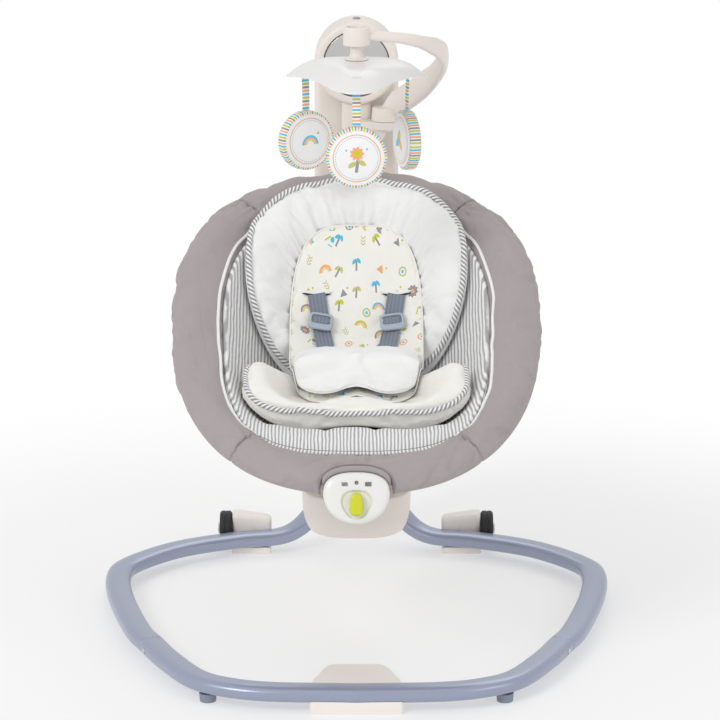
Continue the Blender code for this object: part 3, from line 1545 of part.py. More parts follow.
def build_padding(seat):
    """Body support, seat cushion, inner pad and crotch pad."""

    def support_low(u, v, share, angle):
        return rest_height(u, v)

    def cushion_low(u, v, share, angle):
        return rest_height(u, v, CUSHION_GAP)

    outline = oval(SUPPORT_HALF_WIDTH, SUPPORT_HALF_LENGTH, SUPPORT_SQUARENESS)
    padding("body_support", SUPPORT_V, outline, support_low, support_top, "white", seat, 6, 28)
    powers = (CUSHION_SQUARENESS, CUSHION_FRONT_SQUARENESS)
    outline = oval(CUSHION_HALF_WIDTH, CUSHION_HALF_LENGTH, *powers)
    padding("seat_cushion", CUSHION_V, outline, cushion_low, cushion_top, "white", seat, 7, 32)

    def pad_low(u, v, share, angle):
        return pad_floor(u, v) + PAD_LIFT

    def pad_high(u, v, share, angle):
        return pad_floor(u, v) + PAD_LIFT + 0.002 + (PAD_THICKNESS - 0.002) * (1 - share**8)

    outline = oval(PAD_HALF_WIDTH, PAD_HALF_LENGTH, 2.5, 4.5)
    padding("body_support_pad", PAD_V, outline, pad_low, pad_high, "cream", seat, 10, 32)

    def crotch_low(u, v, share, angle):
        return pad_skin(u, v) + CROTCH_LIFT + CROTCH_ARCH * (1 - share**5)

    def crotch_high(u, v, share, angle):
        round_edge = max(0.0, 1 - share**4) ** 0.5
        return crotch_low(u, v, share, angle) + 0.002 + (CROTCH_THICKNESS - 0.002) * round_edge

    wide = oval(CROTCH_HALF_WIDTH, CROTCH_HALF_LENGTH, 2.4, 3.0)

    def cloud(angle):
        du, dv = wide(angle)
        if dv < 0:
            dv += 0.010 * math.exp(-((du / 0.016) ** 2))
        return du, dv

    padding("crotch_pad", CROTCH_V, cloud, crotch_low, crotch_high, "white", seat, 5, 24)


def strap(name, stations, lift, seat):
    """Flat webbing that follows the inner pad through stations of (u, v)."""
    rings = []
    last = len(stations) - 1
    for i in range(len(stations)):
        u0, v0 = stations[max(i - 1, 0)]
        u1, v1 = stations[min(i + 1, last)]
        side = Vector((v1 - v0, u0 - u1)).normalized() * (STRAP_WIDTH / 2)
        ring = []
        for share, height in ((-1, 0), (0, 0), (1, 0), (1, 1), (0, 1), (-1, 1)):
            u, v = stations[i][0] + side.x * share, stations[i][1] + side.y * share
            ring.append(seat_point(u, v, pad_skin(u, v) + lift + STRAP_THICKNESS * height))
        rings.append(ring)
    return add_object(name, loft_mesh(name, rings), "webbing", seat)


def build_harness(seat):
    """Shoulder and waist straps, their sliders, and the buckle with its release button."""
    for side, name in ((-1, "left"), (1, "right")):
        stations = []
        for i in range(STRAP_STATIONS):
            share = i / (STRAP_STATIONS - 1)
            u = STRAP_TOP[0] + (STRAP_FOOT[0] - STRAP_TOP[0]) * share
            stations.append((side * u, STRAP_TOP[1] + (STRAP_FOOT[1] - STRAP_TOP[1]) * share))
        strap(name + "_shoulder_strap", stations, STRAP_LIFT, seat)
        u, v = stations[STRAP_STATIONS // 3]
        lift = STRAP_LIFT + STRAP_THICKNESS + 0.0026
        frame = seat_frame_at(pad_skin, u, v, lift)
        middle = (0, 0, SLIDER_SIZE[2] / 2)
        slider = block(name + "_strap_slider", SLIDER_SIZE, middle, "grey", seat, 0.0012, 1, frame)
        slot_size = (STRAP_WIDTH + 0.0012, 0.0046, 0.02)
        for shift in (-SLIDER_SIZE[1] / 4, SLIDER_SIZE[1] / 4):
            slot = block("slider_slot", slot_size, (0, shift, 0), "grey", None, 0.0, 1, frame)
            boolean(slider, as_cutter(slot))
    stations = [(WAIST_REACH * (i / 7 - 1), WAIST_V) for i in range(15)]
    strap("waist_strap", stations, WAIST_LIFT, seat)
    frame = seat_frame_at(pad_skin, 0.0, BUCKLE_V, WAIST_LIFT + STRAP_THICKNESS + BUCKLE_LIFT)
    middle = BUCKLE_THICKNESS / 2
    buckle = block(
        "harness_buckle",
        (BUCKLE_WIDTH, BUCKLE_LENGTH, BUCKLE_THICKNESS),
        (0, 0, middle),
        "grey",
        seat,
        0.003,
        2,
        frame,
    )
    deep = BUCKLE_BUTTON_DEPTH
    hole = cylinder_mesh("button_hole", BUCKLE_BUTTON_RADIUS + GAP, deep + 0.01, 18)
    placed(hole, frame @ Matrix.Translation((0, 0, BUCKLE_THICKNESS - deep / 2 + 0.005)))
    boolean(buckle, as_cutter(add_object("button_hole", hole, "grey")))
    height = deep - BUCKLE_BUTTON_TRAVEL - 0.0013
    mesh = cylinder_mesh("buckle_button", BUCKLE_BUTTON_RADIUS, height, 18)
    placed(mesh, frame @ Matrix.Translation((0, 0, BUCKLE_THICKNESS + 0.0003 - height / 2)))
    slide = pivot("buckle_button_slide", frame @ Vector((0, 0, BUCKLE_THICKNESS)), seat)
    button = add_object("buckle_button", mesh, "grey", slide)
    edge = button.modifiers.new("edge", "BEVEL")
    edge.width = 0.0007
    edge.segments = 1
    edge.limit_method = "ANGLE"


def under_liner(u, v, depth):
    """A point outside the liner's lower skin, moved square to it within its own cross-section."""
    step = 0.004
    across = (well_height(u + step, v) - well_height(u - step, v)) / (2 * step)
    along = (well_height(u, v + step) - well_height(u, v - step)) / (2 * step)
    steep = math.sqrt(1 + across**2)
    move = (LINER_THICKNESS + depth) * math.sqrt(1 + across**2 + along**2) / steep
    return seat_point(u + move * across / steep, v, well_height(u, v) - move / steep)


def build_frame(seat):
    """Two hoops that carry the ring tube, a spine that joins them under the liner, and the recline hub."""
    radius = FRAME_TUBE_RADIUS
    clear = radius + HOOP_CLEARANCE

    def hoop_path(v):
        share = math.asin(math.copysign((abs(v) / RIM_HALF_LENGTH) ** (RIM_SQUARENESS / 2), v))
        wide, _ = rim_point(share)
        inner = wide - ROLL_HALF_WIDTH - LINER_INSET
        top = -RING_TUBE_RADIUS - HOOP_REST_GAP
        half = [seat_point(wide, v, top), seat_point(wide, v, top - 0.026)]
        half += [under_liner(inner * share, v, clear) for share in (0.82, 0.66, 0.44, 0.22, 0.0)]
        other = [Vector((-p.x, p.y, p.z)) for p in half[:-1]]
        return smooth_path(half + other[::-1], 2)

    hub_low = DOCK_TOP_Z + 0.0110
    spots = []
    for v in (FRONT_HOOP_V - 0.012, -0.070, -0.020, 0.040, REAR_HOOP_V + 0.012):
        spots.append(under_liner(0.0, v, clear + 0.001))
    path = smooth_path(spots, 3)

    def spine_z(y):
        near = min(path, key=lambda spot: abs(spot.y - y))
        return near.z + (y - near.y) * math.tan(TILT) * 0.8

    rings = []
    for share, wide, deep in ((0.0, 0.92, 0.90), (0.06, 1.0, 1.0), (0.55, 0.98, 1.0), (1.0, 0.66, 0.72)):
        ring = []
        for x, y in superellipse(HUB_HALF_WIDTH * wide, HUB_HALF_LENGTH * deep, 5.0, 16, math.pi / 16):
            top = spine_z(DOCK_Y + y)
            ring.append(Vector((x, DOCK_Y + y, hub_low + (top - hub_low) * share)))
        rings.append(ring)
    hub = add_object("seat_frame", loft_mesh("seat_frame", rings), "beige", seat)
    spine_section = superellipse(0.019, 0.0080, 3.5, 10, math.pi / 10)
    spine_mesh = loft_mesh("seat_spine", sweep_rings(path, lambda share: spine_section))
    spine = add_object("seat_spine", spine_mesh, "beige")
    boolean(hub, as_cutter(spine), "UNION")
    for v, name in ((FRONT_HOOP_V, "front_hoop"), (REAR_HOOP_V, "rear_hoop")):
        hoop = round_tube(name, hoop_path(v), radius, "beige", None, False, 1)
        boolean(hub, as_cutter(hoop), "UNION")
    bore = rod(
        "hub_bore",
        (-2 * HUB_HALF_WIDTH, DOCK_Y, RECLINE_Z),
        (2 * HUB_HALF_WIDTH, DOCK_Y, RECLINE_Z),
        RECLINE_AXLE_RADIUS + GAP,
        "steel",
        None,
        20,
    )
    boolean(hub, as_cutter(bore))


def unit_frame():
    """The vibration unit's frame: +Z out of its face, +Y up the face."""
    tilt = math.radians(UNIT_TILT)
    out = Vector((0, -math.cos(tilt), math.sin(tilt)))
    up = Vector((0, math.sin(tilt), math.cos(tilt)))
    across = up.cross(out)
    matrix = Matrix((across, up, out)).transposed().to_4x4()
    front = seat_point(0.0, -RIM_HALF_LENGTH, 0.0)
    return Matrix.Translation((0, front.y - UNIT_REACH, front.z - UNIT_DROP)) @ matrix


def unit_outline(grow):
    points = []
    for i in range(22):
        angle = 2 * math.pi * i / 22
        c, s = math.cos(angle), math.sin(angle)
        power = 2.5 if s >= 0 else 2.05
        x = (UNIT_HALF_WIDTH + grow) * math.copysign(abs(c) ** (2 / power), c)
        high = UNIT_HEIGHT * (0.40 if s >= 0 else 0.60) + grow
        y = UNIT_HEIGHT * 0.10 + high * math.copysign(abs(s) ** (2 / power), s)
        points.append((x, y))
    return points


def unit_mesh(name, grow, stations):
    frame = unit_frame()
    rings = []
    for depth, inset in stations:
        rings.append([frame @ Vector((x, y, depth)) for x, y in unit_outline(grow - inset)])
    return loft_mesh(name, rings)


def build_unit(seat, cover, ring_clear):
    """The vibration unit clipped to the ring tube at the front, and the notch in the roll around it."""
    stations = [
        (0.0, 0.012),
        (-0.0012, 0.006),
        (-0.0045, 0.0015),
        (-0.010, 0.0),
        (-0.036, 0.002),
        (-0.052, 0.009),
    ]
    housing = add_object("vibration_unit", unit_mesh("vibration_unit", 0.0, stations), "white", seat)
    boolean(housing, ring_clear)
    notch_stations = [(0.02, 0.0), (-0.036, 0.0), (-0.0535, 0.0)]
    notch = add_object("unit_notch", unit_mesh("unit_notch", 0.0012, notch_stations), "taupe")
    boolean(cover, as_cutter(notch))
    frame = unit_frame()
    centre = Matrix.Translation((0, -KNOB_DROP, 0))
    tall = RECESS_DEPTH + 0.02
    recess = cylinder_mesh("knob_recess", KNOB_RECESS_RADIUS - 0.003, tall, 32, KNOB_RECESS_RADIUS + 0.0008)
    placed(recess, frame @ centre @ Matrix.Translation((0, 0, tall / 2 - RECESS_DEPTH)))
    boolean(housing, as_cutter(add_object("knob_recess", recess, "white")))
    deep = 2.5 * MOTOR_LENGTH
    pocket = cylinder_mesh("motor_pocket", MOTOR_RADIUS + GAP, deep, 20)
    placed(pocket, frame @ Matrix.Translation((0, -MOTOR_DROP, -MOTOR_DEPTH - deep / 2)))
    boolean(housing, as_cutter(add_object("motor_pocket", pocket, "white")))
    motor = cylinder_mesh("vibration_motor", MOTOR_RADIUS, MOTOR_LENGTH, 20)
    placed(motor, frame @ Matrix.Translation((0, -MOTOR_DROP, -MOTOR_DEPTH - GAP - MOTOR_LENGTH / 2)))
    add_object("vibration_motor", motor, "steel", seat)
    spin = pivot("vibration_knob_turn", frame @ Vector((0, -KNOB_DROP, 0)), seat)
    rings = []
    for height, size in ((0.0, 1.0), (0.0085, 0.96), (0.0110, 0.88), (0.0122, 0.70)):
        ring = []
        for x, y in superellipse(KNOB_WIDTH / 2 * size, KNOB_LENGTH / 2 * (0.35 + 0.65 * size), 2.6, 20):
            narrow = 1 - 0.16 * y / (KNOB_LENGTH / 2)
            ring.append(frame @ centre @ Vector((x * narrow, y, height - RECESS_DEPTH + GAP)))
        rings.append(ring)
    add_object("vibration_knob", loft_mesh("vibration_knob", rings), "lime", spin)


def build():
    root = pivot("base_origin", (0, 0, 0))
    build_loop(root)
    build_shoe(root)
    build_wheels(root)
    build_post(root)
    build_head(root)
    build_bearing(root)
    swing = pivot("swing_pivot", (0, ARM_Y, PIVOT_Z), root)
    build_swing_arm(swing)
    pin_top = build_bracket(swing)
    mobile = pivot("mobile_hinge", (HINGE_X, HINGE_Y, SHELF_TOP_Z), swing)
    build_mobile_arm(mobile, pin_top)
    canopy = pivot("canopy_spin", (0, MOBILE_Y, CANOPY_TOP_Z), mobile)
    build_canopy(canopy)
    for name, azimuth, facing in TOY_PLACES:
        build_toy(name, azimuth, facing, canopy)
    seat = pivot("recline_pivot", (0, DOCK_Y, RECLINE_Z), swing)
    cover, ring_clear = build_rim(seat)
    build_liner(seat)
    build_padding(seat)
    build_harness(seat)
    build_frame(seat)
    build_unit(seat, cover, ring_clear)


build()
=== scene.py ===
# Electric baby swing: the finishes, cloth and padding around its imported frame.
from math import asin, atan2, copysign, cos, exp, hypot, pi, radians, remainder, sin, sqrt, tan

import bmesh
import bpy
from mathutils import Matrix, Vector, noise
from mathutils.bvhtree import BVHTree


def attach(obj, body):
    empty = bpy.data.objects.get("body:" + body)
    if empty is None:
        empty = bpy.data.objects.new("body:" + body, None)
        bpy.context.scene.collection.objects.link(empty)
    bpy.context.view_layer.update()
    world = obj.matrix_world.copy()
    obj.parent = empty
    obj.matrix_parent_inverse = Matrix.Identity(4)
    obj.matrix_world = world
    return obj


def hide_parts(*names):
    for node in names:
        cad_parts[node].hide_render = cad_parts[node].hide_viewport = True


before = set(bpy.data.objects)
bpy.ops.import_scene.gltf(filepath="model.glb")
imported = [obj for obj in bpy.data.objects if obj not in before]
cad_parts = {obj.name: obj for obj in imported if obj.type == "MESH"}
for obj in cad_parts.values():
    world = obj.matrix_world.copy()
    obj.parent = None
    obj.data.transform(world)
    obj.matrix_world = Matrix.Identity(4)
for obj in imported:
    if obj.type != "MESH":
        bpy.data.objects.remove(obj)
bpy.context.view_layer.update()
print("packed frame loaded:", len(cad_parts), "pieces")

scene = bpy.context.scene
full = 2 * pi


# Camera and studio

view = {
    "elevation": 15.0,  # degrees above the horizon
    "distance": 4.2,  # metres from the point looked at
    "aimHeight": 0.37,
    "lens": 153.0,  # millimetres, on a 36 mm sensor
    "shift": 0.0049,
}


def makeCamera():
    data = bpy.data.cameras.new("camera")
    data.lens = view["lens"]
    data.sensor_width = 36.0
    data.shift_x = view["shift"]
    eye = bpy.data.objects.new("camera", data)
    scene.collection.objects.link(eye)
    lift = radians(view["elevation"])
    ahead = Vector((0, cos(lift), -sin(lift)))
    eye.location = Vector((0, 0, view["aimHeight"])) - ahead * view["distance"]
    eye.rotation_euler = (pi / 2 - lift, 0, 0)
    scene.camera = eye


studio = {
    "ambient": 0.675,  # what the white room gives, where 1 shows a colour as written
    "backdrop": 1.0,
    "floorRadius": 9.0,
    # place, size in metres, watts
    "lamps": [
        ((-2.6, -3.0, 3.0), 1.6, 68.0),
        ((3.2, -2.4, 2.2), 2.0, 20.0),
        ((0.4, 2.6, 3.0), 2.0, 18.0),
        ((0.0, -1.0, 4.2), 2.0, 3.0),
    ],
}


def makeLamps():
    for index, (place, size, watts) in enumerate(studio["lamps"]):
        data = bpy.data.lights.new("softbox%d" % index, "AREA")
        data.shape = "SQUARE"
        data.size = size
        data.energy = watts
        lamp = bpy.data.objects.new("softbox%d" % index, data)
        scene.collection.objects.link(lamp)
        lamp.location = place
        lamp.rotation_euler = (Vector((0, 0, 0.35)) - Vector(place)).to_track_quat("-Z", "Y").to_euler()


# Node helpers

def newFinish(name, inputs):
    finish = bpy.data.materials.new(name)
    finish.use_nodes = True
    shader = finish.node_tree.nodes["Principled BSDF"]
    for key, value in inputs.items():
        shader.inputs[key].default_value = value
    return finish, finish.node_tree, shader


def node(tree, kind, inputs=None, **settings):
    made = tree.nodes.new("ShaderNode" + kind)
    for key, value in settings.items():
        setattr(made, key, value)
    for key, value in (inputs or {}).items():
        if isinstance(value, bpy.types.NodeSocket):
            tree.links.new(value, made.inputs[key])
        else:
            made.inputs[key].default_value = value
    return made


def feed(made, socket, value):
    made.id_data.links.new(value, made.inputs[socket])


def maths(operation, first, second=0.0, third=0.0):
    return node(first.id_data, "Math", {0: first, 1: second, 2: third}, operation=operation).outputs[0]


def times(first, second):
    return maths("MULTIPLY", first, second)


def within(value, middle, half):
    # 1 where a value lies nearer to the middle than half
    return maths("LESS_THAN", maths("ABSOLUTE", maths("SUBTRACT", value, middle)), half)


def vectors(operation, first, second=(0.0, 0.0, 0.0), scale=1.0):
    made = node(first.id_data, "VectorMath", {0: first, 1: second, 3: scale}, operation=operation)
    return made.outputs["Value" if operation == "LENGTH" else "Vector"]


def turnedBy(place, angle):
    made = node(place.id_data, "VectorRotate", {"Vector": place, "Angle": angle}, rotation_type="Z_AXIS")
    return made.outputs[0]


def partsOf(place):
    return node(place.id_data, "SeparateXYZ", {0: place}).outputs


def clouds(place, scale, detail, distortion=0.0):
    inputs = {"Vector": place, "Scale": scale, "Detail": detail, "Distortion": distortion}
    return node(place.id_data, "TexNoise", inputs).outputs[0]


def stretchedPlace(place, scale):
    return node(place.id_data, "Mapping", {"Vector": place, "Scale": scale}).outputs[0]


def ramp(value, low, high, first=0.0, last=1.0, **settings):
    inputs = {"Value": value, "From Min": low, "From Max": high, "To Min": first, "To Max": last}
    return node(value.id_data, "MapRange", inputs, **settings).outputs[0]


def blendColours(share, first, second):
    return node(share.id_data, "Mix", {0: share, 6: first, 7: second}, data_type="RGBA").outputs[2]


def shaded(colour, tint):
    # a colour made darker or lighter by a number
    grey = node(tint.id_data, "CombineColor", {0: tint, 1: tint, 2: tint}).outputs[0]
    made = node(tint.id_data, "Mix", {0: 1.0, 6: colour, 7: grey}, data_type="RGBA", blend_type="MULTIPLY")
    return made.outputs[2]


def rgb(colour):
    return (colour[0], colour[1], colour[2], 1.0)


def ink(name):
    return rgb(colours[name])


def objectPlace(tree):
    return node(tree, "TexCoord").outputs["Object"]


def setBump(shader, height, strength, distance, under=None):
    bump = node(shader.id_data, "Bump", {"Height": height, "Strength": strength, "Distance": distance})
    if under:
        feed(bump, "Normal", under.outputs[0])
    feed(shader, "Normal", bump.outputs[0])


# Colours, in the linear values that the shaders take

colours = {
    "tube": (0.32, 0.355, 0.47),
    "beige": (0.8, 0.735, 0.68),
    "pale": (0.875, 0.825, 0.77),
    "white": (0.79, 0.785, 0.775),
    "taupe": (0.4, 0.354, 0.357),
    "cloth": (0.905, 0.905, 0.905),
    "cream": (0.905, 0.895, 0.845),
    "stripe": (0.3, 0.29, 0.305),
    "webbing": (0.235, 0.27, 0.33),
    "slider": (0.39, 0.45, 0.51),
    "lime": (0.6, 0.64, 0.01),
    "sky": (0.08, 0.56, 0.8),
    "peach": (0.95, 0.44, 0.2),
    "ash": (0.33, 0.32, 0.335),
    "leaf": (0.56, 0.6, 0.2),
    "black": (0.018, 0.018, 0.02),
}


def plastic(name, colour, roughness, coat=0.0, grain=0.00004, coarse=1800.0):
    # a moulded plastic: a fine spark-eroded grain and slight unevenness in the gloss
    finish, tree, shader = newFinish(name, {"Coat Weight": coat, "Coat Roughness": 0.18, "IOR": 1.48})
    place = objectPlace(tree)
    broad = clouds(place, 9.0, 3.0)
    feed(shader, "Base Color", shaded(rgb(colour), maths("MULTIPLY_ADD", broad, 0.05, 0.975)))
    feed(shader, "Roughness", maths("MULTIPLY_ADD", broad, 0.1, roughness - 0.05))
    setBump(shader, clouds(place, coarse, 2.0), 0.25, grain)
    return finish


def paintedSteel(name, colour):
    # powder paint with a fine metal flake and the faint orange peel that such paint has
    finish, tree, shader = newFinish(name, {"Metallic": 0.35, "Coat Weight": 0.35, "Coat Roughness": 0.16})
    place = objectPlace(tree)
    flake = node(tree, "TexVoronoi", {"Vector": place, "Scale": 2600.0}).outputs["Color"]
    dark, light = rgb([c * 0.93 for c in colour]), rgb([c * 1.1 for c in colour])
    feed(shader, "Base Color", blendColours(flake, dark, light))
    feed(shader, "Roughness", maths("MULTIPLY_ADD", clouds(place, 5.0, 2.0), 0.1, 0.27))
    setBump(shader, clouds(place, 420.0, 2.0), 0.12, 0.00008)
    return finish


def bareMetal(name, colour, roughness):
    finish, tree, shader = newFinish(name, {"Base Color": rgb(colour), "Metallic": 1.0})
    lines = clouds(stretchedPlace(objectPlace(tree), (40.0, 40.0, 900.0)), 3.0, 4.0)
    feed(shader, "Roughness", maths("MULTIPLY_ADD", lines, 0.2, roughness - 0.1))
    setBump(shader, lines, 0.15, 0.00003)
    return finish


def cloth(name, colour, thread=0.0007, depth=0.0001, sheen=0.15, creases=0.0006, colourFrom=None):
    # woven cloth: the weave, soft creases, and a colour that may come from a printed pattern
    finish, tree, shader = newFinish(name, {"Roughness": 0.88, "Sheen Weight": sheen, "Sheen Roughness": 0.5,
        "Specular IOR Level": 0.25})
    place = node(tree, "UVMap", uv_map="cloth").outputs[0]
    # plain weave: two sets of threads that pass over each other by turns
    across, along = [maths("SINE", times(part, pi / thread)) for part in partsOf(place)[:2]]
    weave = times(across, along)
    soft = clouds(objectPlace(tree), 26.0, 4.0, 0.8)
    uneven = maths("MULTIPLY_ADD", soft, 0.08, -0.04)
    tint = maths("ADD", maths("MULTIPLY_ADD", weave, 0.025, 0.975), uneven)
    feed(shader, "Base Color", shaded(colourFrom(place) if colourFrom else rgb(colour), tint))
    rumple = node(tree, "Bump", {"Height": soft, "Strength": 0.5, "Distance": creases})
    setBump(shader, weave, 0.6, depth, rumple)
    return finish


def softStripe(cycle, share, soft):
    # 1 over a share of each cycle, with soft edges
    far = maths("ABSOLUTE", maths("SUBTRACT", cycle, 0.5))
    return ramp(far, share / 2 - soft, share / 2 + soft, 1.0, 0.0)


def fineStripes(place, pitch=0.0047, wobble=0.0021, share=0.44):
    # hand-drawn looking stripes along the cloth, grey on white
    drift = clouds(stretchedPlace(place, (60.0, 22.0, 1.0)), 1.0, 2.0)
    shift = times(maths("SUBTRACT", drift, 0.5), wobble * 2)
    cycle = maths("FRACT", maths("DIVIDE", maths("ADD", partsOf(place)[0], shift), pitch))
    return blendColours(times(softStripe(cycle, share, 0.09), 0.8), ink("cloth"), ink("stripe"))


def slantedStripes(place, pitch=0.0062, around=0.0258, share=0.5):
    # the bias-cut striped cloth round a piping cord
    along, across = partsOf(place)[:2]
    turn = times(maths("DIVIDE", across, around), 3.0)
    cycle = maths("FRACT", maths("ADD", maths("DIVIDE", along, pitch), turn))
    return blendColours(softStripe(cycle, share, 0.04), ink("cloth"), ink("ash"))


def flatInks(value, names, early=0.0):
    # one flat colour after another as the value grows
    made = node(value.id_data, "ValToRGB", {0: value})
    made.color_ramp.interpolation = "CONSTANT"
    stops = made.color_ramp.elements
    while len(stops) < len(names):
        stops.new(0.5)
    for index, name in enumerate(names):
        stops[index].position = max(0.0, index / len(names) - early)
        stops[index].color = ink(name)
    return made.outputs[0]


def colourBands(place, pitch=0.0042, gap=0.42):
    # a row of lime, grey, peach and sky bands with white between
    turns = maths("DIVIDE", partsOf(place)[0], pitch)
    band = maths("FRACT", maths("DIVIDE", maths("FLOOR", turns), 4.0))
    edge = ramp(maths("FRACT", turns), gap - 0.05, gap + 0.05)
    return blendColours(edge, ink("cloth"), flatInks(band, ("lime", "ash", "peach", "sky"), 0.02))


def ribbedWebbing(place, width=0.025):
    # four ribs with a row of lighter stitches between them
    along, across = partsOf(place)[:2]
    seam = within(maths("FRACT", times(across, 5.0 / width)), 0.5, 0.17)
    dash = maths("GREATER_THAN", maths("FRACT", times(along, 420.0)), 0.45)
    dark = blendColours(times(seam, 0.8), ink("webbing"), rgb((0.1, 0.12, 0.16)))
    return blendColours(times(times(seam, dash), 0.35), dark, rgb((0.42, 0.47, 0.55)))


# Printed motifs: plain shapes placed on the cloth by a seeded layout

def shapeMask(place, kind, centre, size, turn):
    point = turnedBy(vectors("SUBTRACT", place, (centre[0], centre[1], 0.0)), turn)
    point = vectors("SCALE", point, scale=1.0 / size)
    x, y = partsOf(point)[:2]
    reach = vectors("LENGTH", point)
    beside = maths("ABSOLUTE", x)
    if kind == "dot":
        return maths("LESS_THAN", reach, 1.0)
    if kind == "ring":
        return within(reach, 0.82, 0.16)
    if kind == "thinRing":
        return within(reach, 1.0, 0.022)
    if kind == "dottedRing":
        wave = maths("SINE", times(maths("ARCTAN2", y, x), 56.0))
        return times(within(reach, 1.0, 0.016), maths("GREATER_THAN", wave, -0.1))
    if kind == "arch":
        return times(within(reach, 0.85, 0.11), maths("GREATER_THAN", y, 0.0))
    if kind == "triangle":
        sides = maths("MULTIPLY_ADD", beside, 1.732, y)
        return maths("LESS_THAN", maths("MAXIMUM", sides, times(y, -2.0)), 1.0)
    if kind == "petals":
        wave = maths("COSINE", times(maths("ARCTAN2", y, x), 9.0))
        return maths("LESS_THAN", reach, maths("MULTIPLY_ADD", wave, 0.12, 0.86))
    if kind == "bar":
        wide = times(beside, 5.0)
        return maths("LESS_THAN", maths("MAXIMUM", wide, maths("ABSOLUTE", y)), 1.0)
    if kind == "chevron":
        off = maths("SUBTRACT", y, times(beside, 0.8))
        return times(within(off, 0.0, 0.2), maths("LESS_THAN", beside, 0.8))
    # a leaf: where two discs overlap
    pushed = maths("ADD", beside, 0.75)
    far = maths("ADD", times(pushed, pushed), times(y, y))
    return maths("LESS_THAN", far, 1.5625)


padPrint = {
    "cell": 0.025,  # metres, about the distance between two motifs
    "scatter": 0.62,  # 0 sets them in rows
    "turn": 1.3,  # how far a motif may be turned, in radians
    "inks": ("ash", "leaf", "peach", "ash", "sky", "lime"),
    # each motif's shapes: kind, place, size, turn and ink, where None takes an ink by chance
    "motifs": (
        (("bar", (0, -0.003), 0.0062, 0, "ash"), ("leaf", (-0.003, 0.001), 0.0042, 0.7, None),
         ("leaf", (0.0032, 0.002), 0.004, -0.7, None)),
        (("petals", (0, 0), 0.0078, 0, "ash"), ("dot", (0, 0), 0.0026, 0, "peach")),
        (("arch", (0, -0.004), 0.0092, 0, None), ("arch", (0, -0.004), 0.007, 0, "peach"),
         ("arch", (0, -0.004), 0.0048, 0, "lime")),
        (("triangle", (0, -0.001), 0.0058, 0, None), ("dot", (0.0064, 0.004), 0.0013, 0, "lime")),
        (("chevron", (0, 0.003), 0.004, 0, "leaf"), ("chevron", (0, -0.0005), 0.004, 0, "leaf"),
         ("chevron", (0, -0.004), 0.004, 0, "leaf")),
        (("bar", (-0.003, 0), 0.0046, 0.5, "lime"), ("dot", (0.0034, 0.0026), 0.003, 0, None),
         ("bar", (0.004, -0.0044), 0.003, 1.4, "sky")),
        (("ring", (0, 0), 0.0056, 0, None), ("dot", (0, 0), 0.0018, 0, "sky")),
    ),
}


def scatterPrint(place):
    # plain leaves, suns, arches, hills and dashes, one to a cell of an uneven grid
    scaled = vectors("SCALE", place, scale=1 / padPrint["cell"])
    cells = node(place.id_data, "TexVoronoi", {"Vector": scaled, "Scale": 1.0, "Randomness": padPrint["scatter"]},
        voronoi_dimensions="2D")
    local = vectors("SCALE", vectors("SUBTRACT", scaled, cells.outputs["Position"]), scale=padPrint["cell"])
    motifDraw, inkDraw, turnDraw = node(place.id_data, "SeparateColor", {0: cells.outputs["Color"]}).outputs
    local = turnedBy(local, times(maths("SUBTRACT", turnDraw, 0.5), padPrint["turn"]))
    chance = flatInks(inkDraw, padPrint["inks"])
    now = ink("cream")
    count = len(padPrint["motifs"])
    for index, motif in enumerate(padPrint["motifs"]):
        chosen = times(maths("GREATER_THAN", motifDraw, index / count),
            maths("LESS_THAN", motifDraw, (index + 1) / count))
        for *shape, colour in motif:
            mask = times(chosen, shapeMask(local, *shape))
            now = blendColours(mask, now, ink(colour) if colour else chance)
    return now


toyPrints = {
    "all": [("thinRing", (0, 0), 0.0315, 0, "peach"), ("dottedRing", (0, 0), 0.0285, 0, "sky")],
    "front": [
        ("bar", (0.0005, -0.0085), 0.0105, 0.12, "ash"),
        ("leaf", (-0.0062, -0.0085), 0.0068, 0.95, "leaf"),
        ("leaf", (0.007, -0.006), 0.0064, -0.95, "leaf"),
        ("petals", (0, 0.0065), 0.01, 0, "peach"),
        ("dot", (0, 0.0065), 0.0042, 0, "lime"),
        ("dot", (0.0135, 0.0125), 0.0014, 0, "sky"),
        ("dot", (-0.014, 0.011), 0.0014, 0, "sky"),
    ],
    "left": [
        ("arch", (0, -0.0045), 0.0135, 0, "sky"),
        ("arch", (0, -0.0045), 0.0105, 0, "peach"),
        ("arch", (0, -0.0045), 0.0075, 0, "lime"),
        ("triangle", (0.0125, 0.0105), 0.003, 0, "leaf"),
    ],
    "right": [
        ("leaf", (0, 0.003), 0.013, 0.25, "leaf"),
        ("leaf", (-0.0065, -0.004), 0.009, 0.95, "sky"),
        ("leaf", (0.007, -0.005), 0.009, -0.75, "peach"),
    ],
}


def toyCloth(kind):
    def pattern(place):
        now = ink("cloth")
        for *shape, colour in toyPrints["all"] + toyPrints[kind]:
            now = blendColours(shapeMask(place, *shape), now, ink(colour))
        return now
    return cloth("toyCloth_" + kind, colours["cloth"], sheen=0.4, creases=0.0008, colourFrom=pattern)


